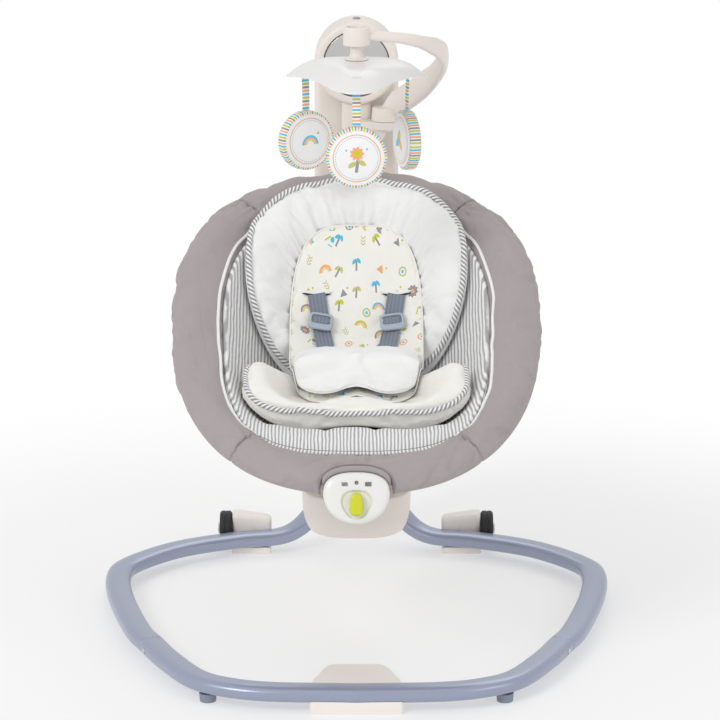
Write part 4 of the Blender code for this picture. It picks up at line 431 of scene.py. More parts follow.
makeCamera()
makeLamps()
paint = paintedSteel("tubePaint", colours["tube"])
beigePlastic = plastic("beigePlastic", colours["beige"], 0.42, 0.06)
whitePlastic = plastic("whitePlastic", colours["white"], 0.32, 0.2)
palePlastic = plastic("palePlastic", colours["pale"], 0.38, 0.12)
greyPlastic = plastic("greyPlastic", (0.33, 0.34, 0.36), 0.45)
sliderPlastic = plastic("sliderPlastic", colours["slider"], 0.35, 0.15)
blackPlastic = plastic("blackPlastic", colours["black"], 0.6)
limePlastic = plastic("limePlastic", colours["lime"], 0.3, 0.25)
# near black: painted shade for the dark inside of the harness slots, and the real ink of the marks printed on the
# vibration unit
slotShadeAndMarkInk = plastic("slotShadeAndMarkInk", (0.03, 0.028, 0.03), 0.85)
boardGreen = plastic("boardGreen", (0.02, 0.18, 0.06), 0.45, 0.2)
rubber = plastic("footRubber", (0.24, 0.27, 0.34), 0.62)
steel = bareMetal("steel", (0.62, 0.62, 0.63), 0.3)
copper = bareMetal("copperWire", (0.72, 0.36, 0.2), 0.35)
taupeCloth = cloth("taupeCloth", colours["taupe"], creases=0.0009)
whiteCloth = cloth("whiteCloth", colours["cloth"])
creamCloth = cloth("creamCloth", colours["cream"])
whitePiping = cloth("whitePiping", colours["cloth"])
stripedCloth = cloth("stripedCloth", colours["cloth"], colourFrom=fineStripes)
pipingCloth = cloth("pipingCloth", colours["cloth"], creases=0.0003, colourFrom=slantedStripes)
bandCloth = cloth("bandCloth", colours["cloth"], creases=0.0003, colourFrom=colourBands)
printCloth = cloth("printCloth", colours["cream"], colourFrom=scatterPrint)
webbingCloth = cloth("webbingCloth", colours["webbing"], 0.0009, 0.00018, 0.2, 0.0002, ribbedWebbing)
toyCloths = {kind: toyCloth(kind) for kind in ("left", "front", "right")}
threadCloth = cloth("threadCloth", (0.3, 0.26, 0.27), 0.0004, 0.00005)
print("camera, lamps and finishes ready")


# Mesh helpers

def addPiece(name, mesh, finish, body, slotName, *replaces):
    piece = loosePiece(name, mesh)
    mesh.name = name
    for each in finish if isinstance(finish, list) else [finish]:
        mesh.materials.append(each)
    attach(piece, body)
    if replaces:
        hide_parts(*replaces)
    return piece


def moulding(name, mesh, body, *replaces):
    return addPiece(name, mesh, beigePlastic, body, "beige_plastic", *replaces)


def seatPiece(name, mesh, finish, slotName, *replaces):
    return addPiece(name, mesh, finish, "seat", slotName, *replaces)


def lengths(points, closed=False):
    # how far along a line of points each one lies
    far = [0.0]
    for first, second in zip(points, points[1:]):
        far.append(far[-1] + (second - first).length)
    if closed:
        far.append(far[-1] + (points[0] - points[-1]).length)
    return far


def skinMesh(rows, uvAt=None, wrapRows=False, wrapColumns=True, caps=True):
    # a skin over rows of points, with the cloth's own coordinates in metres: x along, y across
    mesh = bpy.data.meshes.new("skin")
    shape = bmesh.new()
    layer = shape.loops.layers.uv.new("cloth")
    countRows, countColumns = len(rows), len(rows[0])
    if uvAt is None:
        middle = countColumns // 4
        along = lengths([row[middle] for row in rows], wrapRows)
        across = lengths(rows[countRows // 2], wrapColumns)
        uvAt = lambda i, j: (along[i], across[j])
    dots = [[shape.verts.new(point) for point in row] for row in rows]
    for i in range(countRows if wrapRows else countRows - 1):
        for j in range(countColumns if wrapColumns else countColumns - 1):
            corners = ((i, j), (i, j + 1), (i + 1, j + 1), (i + 1, j))
            face = shape.faces.new([dots[a % countRows][b % countColumns] for a, b in corners])
            for loop, (a, b) in zip(face.loops, corners):
                loop[layer].uv = uvAt(a, b)
    for i in (0, countRows - 1) if caps else ():
        face = shape.faces.new(dots[i])
        for j, loop in enumerate(face.loops):
            loop[layer].uv = uvAt(i, j)
    bmesh.ops.recalc_face_normals(shape, faces=shape.faces)
    shape.to_mesh(mesh)
    shape.free()
    mesh.shade_smooth()
    return mesh


def bakeModifiers(piece):
    # the piece's evaluated mesh takes the place of its own, so no modifier is left on it
    bpy.context.view_layer.update()
    made = bpy.data.meshes.new_from_object(piece.evaluated_get(bpy.context.evaluated_depsgraph_get()))
    old = piece.data
    piece.modifiers.clear()
    piece.data = made
    bpy.data.meshes.remove(old)


def sharpen(mesh, angle=35.0):
    mesh.shade_smooth()
    mesh.set_sharp_from_angle(angle=radians(angle))
    return mesh


def smoothPath(points, steps, closed=False):
    # Catmull-Rom through the points
    spots = [Vector(p) for p in points]
    if closed:
        spots = [spots[-1]] + spots + spots[:2]
    else:
        spots = [2 * spots[0] - spots[1]] + spots + [2 * spots[-1] - spots[-2]]
    found = []
    for a, b, c, d in zip(spots, spots[1:], spots[2:], spots[3:]):
        for i in range(steps):
            t = i / steps
            found.append(0.5 * (2 * b + (c - a) * t + (2 * a - 5 * b + 4 * c - d) * t**2
                + (3 * b - a - 3 * c + d) * t**3))
    if not closed:
        found.append(spots[-2])
    return found


def powered(value, power):
    # squares off a cosine or sine: 2 leaves it as it is
    return copysign(abs(value) ** (2 / power), value)


def oval(halfWidth, halfHeight, power, count, start=0.0):
    angles = [start + full * i / count for i in range(count)]
    return [(halfWidth * powered(cos(a), power), halfHeight * powered(sin(a), power)) for a in angles]


def roundSteps(count):
    # a quarter turn in steps: at each, how far it has come one way and how far it is short the other way
    angles = [pi / 2 * k / count for k in range(count + 1)]
    return [(1 - cos(a), 1 - sin(a)) for a in angles]


def ease(share):
    share = min(1.0, max(0.0, share))
    return share * share * (3 - 2 * share)


def treeOf(piece):
    return BVHTree.FromObject(piece, bpy.context.evaluated_depsgraph_get())


def sweepRows(path, section, up=(0, 0, 1)):
    # a section carried along a path: points, or a function of the share of the way
    rows = []
    last = len(path) - 1
    for i, point in enumerate(path):
        along = (path[min(i + 1, last)] - path[max(i - 1, 0)]).normalized()
        side = along.cross(Vector(up)).normalized()
        rise = side.cross(along).normalized()
        rows.append([point + side * a + rise * b for a, b in (section(i / last) if callable(section) else section)])
    return rows


def cordMesh(path, radius, sides=14, closed=False):
    # a round cord along a path; the section keeps its turn from ring to ring
    count = len(path)
    rows = []
    side = None
    for i, point in enumerate(path):
        if closed:
            along = (path[(i + 1) % count] - path[i - 1]).normalized()
        else:
            along = (path[min(i + 1, count - 1)] - path[max(i - 1, 0)]).normalized()
        side = (side - along * side.dot(along) if i else along.orthogonal()).normalized()
        rise = along.cross(side)
        rows.append([point + (side * cos(full * k / sides) + rise * sin(full * k / sides)) * radius
            for k in range(sides)])
    along = lengths(path, closed)
    return skinMesh(rows, lambda i, j: (along[i], full * radius * j / sides), closed, caps=not closed)


def turnedMesh(profile, matrix, steps=64):
    # a turned piece; the profile of (radius, height) starts and ends on the axis, or is a closed ring
    onAxis = profile[0][0] == 0.0
    body = profile[1:-1] if onAxis else profile[:-1]
    rows = [[matrix @ Vector((radius * cos(full * k / steps), radius * sin(full * k / steps), height))
        for k in range(steps)] for radius, height in body]
    widest = max(radius for radius, height in body)
    down = lengths([Vector((r, h, 0)) for r, h in body], not onAxis)
    return skinMesh(rows, lambda i, j: (full * widest * j / steps, down[i]), not onAxis, caps=onAxis)


def moveTo(x, y, z):
    return Matrix.Translation((x, y, z))


def turnTo(axis):
    return Vector(axis).to_track_quat("Z", "Y").to_matrix().to_4x4()


def roundedProfile(points, radius, steps=4):
    # the same profile with its inner corners rounded
    found = [points[0]]
    for before, here, after in zip(points, points[1:], points[2:]):
        a, b, c = Vector(before), Vector(here), Vector(after)
        reach = min(radius, (a - b).length * 0.45, (c - b).length * 0.45)
        start = b + (a - b).normalized() * reach
        end = b + (c - b).normalized() * reach
        for k in range(steps + 1):
            t = k / steps
            spot = start * (1 - t) ** 2 + b * 2 * t * (1 - t) + end * t**2
            found.append((spot.x, spot.y))
    found.append(points[-1])
    return found


def cutFrom(piece, meshes, operation="DIFFERENCE", solver="EXACT", sharpFrom=None):
    # cuts are applied, so that no cutter stays in the scene
    cutters = [loosePiece("cutter", mesh) for mesh in meshes]
    for cutter in cutters:
        step = piece.modifiers.new("cut", "BOOLEAN")
        step.operation = operation
        step.solver = solver
        step.object = cutter
    bakeModifiers(piece)
    for cutter, mesh in zip(cutters, meshes):
        bpy.data.objects.remove(cutter, do_unlink=True)
        bpy.data.meshes.remove(mesh)
    if sharpFrom:
        sharpen(piece.data, sharpFrom)


def loosePiece(name, mesh):
    piece = bpy.data.objects.new(name, mesh)
    scene.collection.objects.link(piece)
    return piece


def boxMesh(size, matrix, edge=0.0):
    mesh = bpy.data.meshes.new("box")
    shape = bmesh.new()
    bmesh.ops.create_cube(shape, size=1.0)
    bmesh.ops.scale(shape, vec=Vector(size), verts=shape.verts)
    if edge:
        bmesh.ops.bevel(shape, geom=list(shape.edges), offset=edge, segments=3, profile=0.5, affect="EDGES")
    bmesh.ops.transform(shape, matrix=matrix, verts=shape.verts)
    shape.to_mesh(mesh)
    shape.free()
    return sharpen(mesh, 40.0)


def joinMeshes(meshes):
    # several skins as one mesh, each with its own finish
    made = bpy.data.meshes.new("joined")
    shape = bmesh.new()
    for index, mesh in enumerate(meshes):
        before = len(shape.faces)
        shape.from_mesh(mesh)
        shape.faces.ensure_lookup_table()
        for f in shape.faces[before:]:
            f.material_index = index
            f.smooth = True
        bpy.data.meshes.remove(mesh)
    shape.to_mesh(made)
    shape.free()
    return made


def closeHole(mesh, onRim, up=None):
    # fills the open edge whose points pass the test, and turns the faces up if a way is given
    shape = bmesh.new()
    shape.from_mesh(mesh)
    rims = [e for e in shape.edges if e.is_boundary and all(onRim(vert.co) for vert in e.verts)]
    bmesh.ops.contextual_create(shape, geom=rims)
    bmesh.ops.recalc_face_normals(shape, faces=shape.faces)
    if up is not None and sum(f.normal.dot(up) for f in shape.faces) < 0:
        bmesh.ops.reverse_faces(shape, faces=shape.faces)
    shape.to_mesh(mesh)
    shape.free()
    mesh.shade_smooth()


def thicken(piece, thickness, slotIndex=0):
    # a wall inward from the skin; its inner side and rim take the finish in that slot
    wall = piece.modifiers.new("wall", "SOLIDIFY")
    wall.thickness = thickness
    wall.offset = -1.0
    wall.material_offset = slotIndex
    wall.material_offset_rim = slotIndex
    bakeModifiers(piece)


def rodMesh(start, end, radius, steps=40):
    start, end = Vector(start), Vector(end)
    run = end - start
    profile = [(0.0, 0.0), (radius, 0.0), (radius, run.length), (0.0, run.length)]
    return sharpen(turnedMesh(profile, Matrix.Translation(start) @ turnTo(run), steps), 40.0)


filling = {"quality": 4, "mass": 0.3, "tension_stiffness": 14.0, "compression_stiffness": 10.0,
    "shear_stiffness": 4.0, "bending_stiffness": 0.12, "use_pressure": True, "uniform_pressure_force": 4.0}
fillingFrames = 20


def billow(piece, heldPoints, grow, cap):
    # cloth simulation: air pressure fills the pad while its seams and underside are held
    piece.vertex_groups.new(name="held").add(heldPoints, 1.0, "REPLACE")
    step = piece.modifiers.new("cloth", "CLOTH")
    for key, value in filling.items():
        setattr(step.settings, key, value)
    step.settings.shrink_min = -grow
    step.settings.effector_weights.gravity = 0.0
    step.settings.vertex_group_mass = "held"
    step.collision_settings.use_collision = False
    step.point_cache.frame_start = 1
    step.point_cache.frame_end = fillingFrames
    for now in range(1, fillingFrames + 1):
        scene.frame_set(now)
    moved = piece.evaluated_get(bpy.context.evaluated_depsgraph_get()).data
    places = [vert.co.copy() for vert in moved.vertices]
    piece.modifiers.remove(step)
    scene.frame_set(1)
    for vert, place in zip(piece.data.vertices, places):
        push = place - vert.co
        vert.co += push * (cap / push.length) if push.length > cap else push
    piece.data.update()


def ruffle(piece, heightAt):
    # one more subdivision, and then the fine folds, along each point's normal
    step = piece.modifiers.new("smooth", "SUBSURF")
    step.levels = 1
    step.render_levels = 1
    step.use_limit_surface = False
    bakeModifiers(piece)
    mesh = piece.data
    normals = [normal.vector.copy() for normal in mesh.vertex_normals]
    for vert, normal in zip(mesh.vertices, normals):
        vert.co += normal * heightAt(vert.co, normal)
    mesh.update()
    mesh.shade_smooth()


def crease(along, across, wide, long, height):
    # thin creases, drawn where a stretched noise crosses nought
    n = noise.noise(Vector((along / long, across / wide, 4.4)))
    return -height * max(0.0, 1 - abs(n) / 0.1)


def pleat(along, away, pitch, reach, height):
    # soft gathers that start at a seam and die out away from it
    wave = noise.noise(Vector((along / pitch, away / (reach * 1.6), 7.7)))
    fine = noise.noise(Vector((along / (pitch * 0.45), away / reach, 2.3)))
    return height * (wave + 0.4 * fine) * exp(-max(0.0, away) / reach)


# Floor loop: painted steel tube in three lengths, plugged together by snap buttons

loop = {
    "halfWidth": 0.34,
    "frontY": -0.361,
    "rearY": 0.28,
    "width": 0.036,
    "height": 0.0215,
    "axisZ": 0.0225,
    "square": 2.7,  # 2 is an ellipse, more is squarer
    "fine": 12,  # sections per stretch of the route
    "endRound": 0.0011,
}
jointStep, bendStep = 5, 13  # stretches of the route where the tubes join and where they bend up
clearance = 0.0003  # between parts that slide into or round each other


def loopPath(side=1):
    f, r, half, z = loop["frontY"], loop["rearY"], loop["halfWidth"], loop["axisZ"]
    flat = [(0, f), (0.11, f + 0.005), (0.17, f + 0.022), (0.211, f + 0.053), (half - 0.089, f + 0.123),
        (half - 0.065, f + 0.178), (half - 0.042, f + 0.234), (half - 0.011, f + 0.36), (half, r - 0.186),
        (half - 0.015, r - 0.13), (0.262, r - 0.06), (0.176, r - 0.016), (0.118, r)]
    points = [(x, y, z) for x, y in flat]
    points += [(0.088, r + 0.012, z + 0.009), (0.064, r + 0.026, z + 0.029), (0.044, r + 0.04, z + 0.048),
        (0.028, r + 0.052, z + 0.064)]
    return [Vector((side * p.x, p.y, p.z)) for p in smoothPath(points, loop["fine"])]


def tubeRows(path, shrink=0.0, roundStart=False, roundEnd=False):
    section = oval(loop["width"] / 2 - shrink, loop["height"] / 2 - shrink, loop["square"], 40, pi / 40)
    rows = sweepRows(path, section)
    edge = loop["endRound"]
    for wanted, here, there in ((roundStart, 0, 1), (roundEnd, -1, -2)):
        if not wanted:
            continue
        run = (path[there] - path[here]).normalized()
        middle = path[here]
        made = []
        for come, short in roundSteps(4):
            tight = 1 - edge * short / (loop["height"] / 2)
            made.append([middle + (p - middle) * tight + run * edge * come for p in rows[here]])
        rows = made + rows[1:] if here == 0 else rows[:-1] + made[::-1]
    return rows


def tubeCutter(side, start, end):
    return skinMesh(tubeRows(loopPath(side)[start:end], -clearance))


fine = loop["fine"]
joint = jointStep * fine
leftPath, rightPath = loopPath(-1), loopPath(1)
frontRows = tubeRows(leftPath[1:joint + 1][::-1] + rightPath[:joint + 1], 0.0, True, True)
frontTube = addPiece("frontTube", skinMesh(frontRows), paint, "base", "tube", "front_base_tube")
for side, name in ((-1, "left"), (1, "right")):
    path = loopPath(side)
    run = (path[joint + 1] - path[joint]).normalized()
    path[joint] = path[joint] + run * clearance
    mesh = skinMesh(tubeRows(path[joint:], 0.0, True))
    addPiece(name + "RearTube", mesh, paint, "base", "tube", name + "_rear_tube")
# the holes that the snap buttons stand in
buttonHoles = []
for side in (-1, 1):
    path = loopPath(side)
    here = path[joint - fine // 3]
    along = (path[joint - fine // 3 + 1] - path[joint - fine // 3 - 1]).normalized()
    outward = along.cross(Vector((0, 0, 1))).normalized()
    outward *= copysign(1.0, outward.x * side)
    buttonHoles.append(rodMesh(here + outward * 0.008, here + outward * 0.03, 0.0044))
cutFrom(frontTube, buttonHoles, sharpFrom=40.0)


# Front shoe and wheel housings: cream mouldings under the loop

shoe = {
    "halfWidth": 0.06,
    "reach": 0.156,
    "low": 0.0105,
    "saddle": 0.0165,
    "edge": 0.0022,
}


def shoeOutline(inset):
    front = loop["frontY"] - loop["width"] / 2 + 0.001
    back = front + shoe["reach"]
    w = shoe["halfWidth"]
    half = [(0.0, front), (w * 0.5, front), (w - 0.006, front), (w - 0.0015, front + 0.0012), (w, front + 0.006),
        (w - 0.001, front + 0.04), (w - 0.0025, back - 0.078), (w - 0.006, back - 0.055), (w - 0.01, back - 0.038),
        (w - 0.014, back - 0.022), (w - 0.019, back - 0.01), (w - 0.024, back - 0.003), (w - 0.032, back),
        (w * 0.2, back)]
    right = smoothPath([(x, y, 0) for x, y in half], 5)
    points = [(p.x, p.y) for p in right] + [(-p.x, p.y) for p in reversed(right[1:])]
    count = len(points)
    found = []
    for i in range(count):
        a, b = points[i - 1], points[(i + 1) % count]
        long = hypot(b[0] - a[0], b[1] - a[1]) or 1.0
        found.append((points[i][0] - (b[1] - a[1]) / long * inset, points[i][1] + (b[0] - a[0]) / long * inset))
    return found


def shoeTop(y):
    back = loop["frontY"] - loop["width"] / 2 + 0.001 + shoe["reach"]
    return shoe["saddle"] - (shoe["saddle"] - shoe["low"]) * ease((y - (back - 0.074)) / 0.034)


edge = shoe["edge"]
rows = [[Vector((x, y, height)) for x, y in shoeOutline(inset)] for inset, height in ((0.0006, 0.0), (0.0, 0.0006))]
for come, short in roundSteps(6):
    rows.append([Vector((x, y, shoeTop(y) - edge * short)) for x, y in shoeOutline(edge * come)])
rows.append([Vector((x, y, shoeTop(y))) for x, y in shoeOutline(edge + 0.0015)])
frontShoe = addPiece("frontShoe", skinMesh(rows), palePlastic, "base", "beige_plastic", "front_shoe")
saddlePath = leftPath[1:2 * fine][::-1] + rightPath[:2 * fine]
cutFrom(frontShoe, [skinMesh(tubeRows(saddlePath, -clearance))], solver="FAST", sharpFrom=30.0)

wheels = {
    "radius": 0.0255,
    "width": 0.018,
    "x": 0.195,
    "y": 0.3035,
    "z": 0.029,
    "housing": 0.058,
    "footHeight": 0.011,
    "round": 0.005,
}


def housingRing(x, rear, high, shrink=0.0):
    front = wheels["y"] - 0.04 + shrink
    stepY = wheels["y"] - 0.0135
    stepZ = wheels["footHeight"]
    rear -= shrink
    high -= shrink
    outline = [(front + 0.006, 0.0), (rear - 0.004, 0.0), (rear, 0.004), (rear, high - 0.009), (rear - 0.008, high),
        (stepY + 0.004, high), (stepY + shrink, high - 0.004), (stepY + shrink, stepZ + 0.001),
        (stepY - 0.001, stepZ - shrink), (front + 0.001, stepZ - shrink), (front, stepZ - 0.001 - shrink),
        (front, 0.0), (front + 0.006, 0.0)]
    rounded = roundedProfile(outline, wheels["round"], 5)[:-1]
    return [Vector((x, y, max(z, 0.0))) for y, z in rounded]


for side, name in ((-1, "left"), (1, "right")):
    outer = wheels["x"] - wheels["width"] / 2 - 0.0008
    inner = outer - wheels["housing"]
    y, z = wheels["y"], wheels["z"]
    rows = []
    for come, short in roundSteps(4):
        rows.append(housingRing(side * (outer - 0.0028 * come), y + 0.0245, z + 0.0245, 0.0028 * short))
    for x, rear, high in ((outer - 0.012, 0.0238, 0.024), (outer - 0.028, 0.0215, 0.0222),
            (inner + 0.012, 0.019, 0.0205)):
        rows.append(housingRing(side * x, y + rear, z + high))
    for come, short in roundSteps(5):
        rows.append(housingRing(side * (inner + 0.0075 * short), y + 0.018, z + 0.0195, 0.0055 * come))
    housing = addPiece(name + "WheelHousing", skinMesh(rows), palePlastic, "base", "beige_plastic",
        name + "_wheel_housing")
    axleHole = rodMesh((side * (outer + 0.01), y, z), (side * (outer - 0.0263), y, z), 0.0043)
    cutFrom(housing, [tubeCutter(side, 6 * fine, bendStep * fine), axleHole], sharpFrom=35.0)
    half, r = wheels["width"] / 2, wheels["radius"]
    profile = [(0.0043, half - 0.004), (0.0093, half - 0.004), (0.01, half - 0.0006), (0.015, half - 0.0012),
        (r - 0.0062, half - 0.0012), (r - 0.0052, half), (r - 0.0028, half), (r, half - 0.0028), (r, 0.0012),
        (r - 0.0007, 0.0006), (r - 0.0007, -0.0006), (r, -0.0012), (r, -half + 0.0028), (r - 0.0028, -half),
        (0.0043, -half), (0.0043, half - 0.004)]
    place = Matrix.Translation((side * wheels["x"], y, z)) @ turnTo((side, 0, 0))
    wheel = turnedMesh(roundedProfile(profile, 0.0009, 3), place, 96)
    addPiece(name + "Wheel", sharpen(wheel, 50.0), blackPlastic, name + "_wheel", "black_plastic", name + "_wheel")
print("loop, shoe and wheels built")


# Post: two cream shells on a foot, with a round head

post = {
    "halfWidth": 0.0605,
    "lowHalfWidth": 0.046,
    "frontY": 0.3,
    "partingY": 0.342,
    "rearY": 0.3785,
    "wall": 0.003,
    "footTop": 0.15,
    "headZ": 0.731,
    "pivotZ": 0.735,
}


def postOutline(inset):
    wide = post["halfWidth"] - inset
    low = post["lowHalfWidth"] - inset
    foot = post["footTop"] + clearance + inset
    side = smoothPath([(low, 0, foot), (low + 0.002, 0, 0.24), (wide - 0.003, 0, 0.4), (wide, 0, 0.52),
        (wide, 0, post["headZ"])], 10)
    right = [(p.x, p.z) for p in side]
    arc = [(wide * cos(pi * i / 48), post["headZ"] + wide * sin(pi * i / 48)) for i in range(1, 48)]
    floor = [(low * t, foot) for t in (0.985, 0.5, -0.5, -0.985)]
    return [(x, z) for x, z in right] + arc + [(-x, z) for x, z in reversed(right)] + floor[::-1]


def postShell(name, stations, node):
    rows = [[Vector((x, y, z)) for x, z in postOutline(inset)] for y, inset in stations]
    last = stations[-1]
    for more in (0.004, 0.016):
        rows.append([Vector((x, last[0], z)) for x, z in postOutline(last[1] + more)])
    mesh = skinMesh(rows, caps=False)
    closeHole(mesh, lambda spot: abs(spot.y - last[0]) < 1e-6)
    shell = moulding(name, mesh, "base", node)
    thicken(shell, post["wall"])
    return shell


def quarter(start, end, steps=7):
    # a rounded corner between two (depth, inset) stations
    return [(start[0] + (end[0] - start[0]) * sin(pi / 2 * k / steps),
        start[1] + (end[1] - start[1]) * (1 - cos(pi / 2 * k / steps))) for k in range(steps + 1)]


parting, frontY, rearY = post["partingY"], post["frontY"], post["rearY"]
lip = [(0.00015, 0.0006), (0.0005, 0.0001), (0.001, 0.0)]
frontShell = postShell("postFrontShell", [(parting - away, inset) for away, inset in lip]
    + quarter((frontY + 0.01, 0.0), (frontY, 0.009)), "post_front_shell")
rearShell = postShell("postRearShell", [(parting + away, inset) for away, inset in lip]
    + quarter((rearY - 0.018, 0.0005), (rearY, 0.017)), "post_rear_shell")
buttonY = (frontY + 0.01 + parting) / 2
top = post["headZ"] + post["halfWidth"]
bearingHole = rodMesh((0, 0.28, post["pivotZ"]), (0, 0.32, post["pivotZ"]), 0.0143, 64)
cutFrom(frontShell, [bearingHole, rodMesh((0, buttonY, top - 0.01), (0, buttonY, top + 0.01), 0.0058)],
    sharpFrom=32.0)
speakerSlots = [boxMesh((0.03, 0.02, 0.0022), moveTo(0, rearY, 0.57 + row * 0.007), 0.001) for row in range(-2, 3)]
doorHole = boxMesh((0.0606, 0.02, 0.1206), moveTo(0, rearY, 0.33))
inletHole = rodMesh((0, rearY - 0.013, 0.205), (0, rearY + 0.01, 0.205), 0.0063)
cutFrom(rearShell, speakerSlots + [doorHole, inletHole], sharpFrom=32.0)

# the foot that carries the post on the two tube ends
rows = []
middle, deep = (frontY + rearY) / 2, (rearY - frontY) / 2
for z, wide, less in ((0.046, 0.026, 0.016), (0.0463, 0.029, 0.013), (0.0475, 0.0335, 0.0095),
        (0.05, 0.038, 0.0052), (0.056, 0.0405, 0.0024), (0.064, 0.0425, 0.0006), (0.076, 0.044, 0.0),
        (0.1, 0.045, 0.0), (0.1492, 0.046, 0.0), (0.1498, 0.0456, 0.0005), (0.15, 0.045, 0.0011)):
    rows.append([Vector((x, middle + y, z)) for x, y in oval(wide, deep - less, 3.6, 72)])
postFoot = moulding("postFoot", skinMesh(rows), "base", "post_foot")
cutFrom(postFoot, [tubeCutter(side, (bendStep - 2) * fine, None) for side in (-1, 1)], sharpFrom=35.0)

# the head: a bezel drum with a slot below for the swing arm, and a dished lens
head = {"radius": 0.059, "lens": 0.0475, "ringFrontY": 0.268, "wall": 0.0028}
back = frontY - clearance
depth = back - head["ringFrontY"]
inner = head["lens"] + clearance
outer = head["radius"]
wallIn = outer - head["wall"]
profile = [(inner, depth - 0.005), (inner, depth - 0.0012), (inner + 0.0012, depth - 0.0006),
    (outer - 0.0045, depth), (outer - 0.0012, depth - 0.0012), (outer, depth - 0.005), (outer, 0.0), (wallIn, 0.0),
    (wallIn, depth - 0.005), (inner, depth - 0.005)]
place = moveTo(0, back, post["pivotZ"]) @ turnTo((0, -1, 0))
bezel = moulding("headBezel", turnedMesh(roundedProfile(profile, 0.0022, 5), place, 160), "base", "head_bezel_ring")
# the slot leaves room for the arm's half width at 12 degrees either way
reach = outer * sin(radians(12.0)) + 0.021 + 0.004
armSlot = boxMesh((2 * reach, depth - 0.004, outer), moveTo(0, back - (depth - 0.008) / 2, post["pivotZ"] - outer))
cutFrom(bezel, [armSlot], sharpFrom=40.0)
edge = head["lens"]
profile = [(0.0, depth + 0.0006), (edge * 0.25, depth + 0.0004), (edge * 0.5, depth - 0.0002),
    (edge * 0.75, depth - 0.001), (edge - 0.004, depth - 0.0019), (edge - 0.0015, depth - 0.0026),
    (edge - 0.0003, depth - 0.0034), (edge, depth - 0.0042), (edge, depth - 0.0052),
    (edge + 0.006, depth - 0.0053), (edge + 0.006, depth - 0.007), (0.0, depth - 0.007)]


def lensFinish():
    # a smoked lens: grey in the middle, with a dark printed border
    finish, tree, shader = newFinish("headLens", {"Roughness": 0.14, "Coat Weight": 0.7, "Coat Roughness": 0.05})
    place = vectors("SUBTRACT", objectPlace(tree), (0.0, 0.0, post["pivotZ"]))
    reach = vectors("LENGTH", vectors("MULTIPLY", place, (1.0, 0.0, 1.0)))
    grey = blendColours(clouds(objectPlace(tree), 14.0, 2.0), rgb((0.46, 0.46, 0.45)), rgb((0.53, 0.53, 0.52)))
    feed(shader, "Base Color", blendColours(ramp(reach, 0.0457, 0.0461), grey, rgb((0.11, 0.11, 0.115))))
    return finish


lens = turnedMesh(profile, place, 128)
addPiece("headLens", sharpen(lens, 40.0), lensFinish(), "base", "grey_gloss", "head_glass_panel")
print("post and head built")


# Swing arm, its dock and the seat's frame

arm = {
    "width": 0.042,
    "thickness": 0.02,
    "y": 0.2855,
    "headRadius": 0.03,
    "square": 4.0,
    "dockX": 0.075,
    "dockY": 0.072,
    "dockLow": 0.136,
    "dockHigh": 0.198,
    "dockMiddle": -0.02,
    "reclineZ": 0.224,
}
armY = arm["y"]
armRoute = [(0, armY, post["pivotZ"]), (0, armY - 0.001, 0.42), (0, armY - 0.008, 0.33), (0, armY - 0.03, 0.252),
    (0, armY - 0.076, 0.195), (0, armY - 0.145, 0.17), (0, arm["dockMiddle"] + arm["dockY"] - 0.016, 0.165)]


def armRows(path, shrink=0.0):
    section = oval(arm["width"] / 2 - shrink, arm["thickness"] / 2 - shrink, arm["square"], 48, pi / 48)
    return sweepRows(path, section, (0, -1, 1))


path = smoothPath(armRoute, 12)
swingArm = moulding("swingArm", skinMesh(armRows(path)), "swing", "swing_arm")
half, r = arm["thickness"] / 2, arm["headRadius"]
profile = roundedProfile([(0.0, half), (r, half), (r, -half), (0.0, -half)], 0.003, 6)
cutFrom(swingArm, [turnedMesh(profile, moveTo(0, armY, post["pivotZ"]) @ turnTo((0, -1, 0)), 96)], "UNION")
shaftFront = armY - half + 0.004
bore = rodMesh((0, shaftFront - clearance, post["pivotZ"]), (0, armY + 0.02, post["pivotZ"]), 0.0078, 48)
cutFrom(swingArm, [bore], sharpFrom=35.0)

rows = []
dockY = arm["dockMiddle"]
deep = arm["dockHigh"] - arm["dockLow"]
bowl = [(0.0, 0.66), (0.004, 0.705), (0.016, 0.755), (0.035, 0.8), (0.06, 0.842), (0.11, 0.885), (0.22, 0.935),
    (0.36, 0.968), (0.5, 0.986), (0.72, 0.996), (0.93, 1.0), (0.965, 0.9985), (0.985, 0.993), (0.996, 0.984),
    (1.0, 0.972), (1.0, 0.9)]
for share, size in bowl:
    rows.append([Vector((x, dockY + y, arm["dockLow"] + deep * share))
        for x, y in oval(arm["dockX"] * size, arm["dockY"] * size, 2.8, 96)])
dock = moulding("dockBowl", skinMesh(rows), "swing", "dock")
ears = []
earRadius = 0.022


def reclineBore(reach):
    return rodMesh((-reach, dockY, arm["reclineZ"]), (reach, dockY, arm["reclineZ"]), 0.0053)


for side in (-1, 1):
    x = side * 0.0466
    low, high = arm["dockHigh"] - 0.01, arm["reclineZ"]
    outline = [(dockY - earRadius, low), (dockY + earRadius, low)]
    outline += [(dockY + earRadius * cos(pi * k / 40), high + earRadius * sin(pi * k / 40)) for k in range(41)]
    rows = []
    for k in range(13):
        across = pi * (k / 12 - 0.5)
        inset = 0.0018 * (1 - cos(across) ** 0.5 if abs(cos(across)) > 1e-9 else 1.0)
        shift = copysign(1 - (1 - min(1.0, abs(k - 6) / 6)) ** 2, k - 6) * 0.006
        tight = 1 - inset / earRadius
        rows.append([Vector((x + shift, dockY + (y - dockY) * tight, high + (z - high) * tight))
            for y, z in outline])
    ears.append(skinMesh(rows))
cutFrom(dock, ears, "UNION")
pocket = path[-30:]
pocket[-1] = pocket[-1] + Vector((0, -clearance, 0))
cutFrom(dock, [skinMesh(armRows(pocket, -clearance)), reclineBore(0.065)], sharpFrom=35.0)
print("swing arm and dock built")


# Mobile: bracket, curled arm with a cup, spindle, canopy and three toys on ribbons

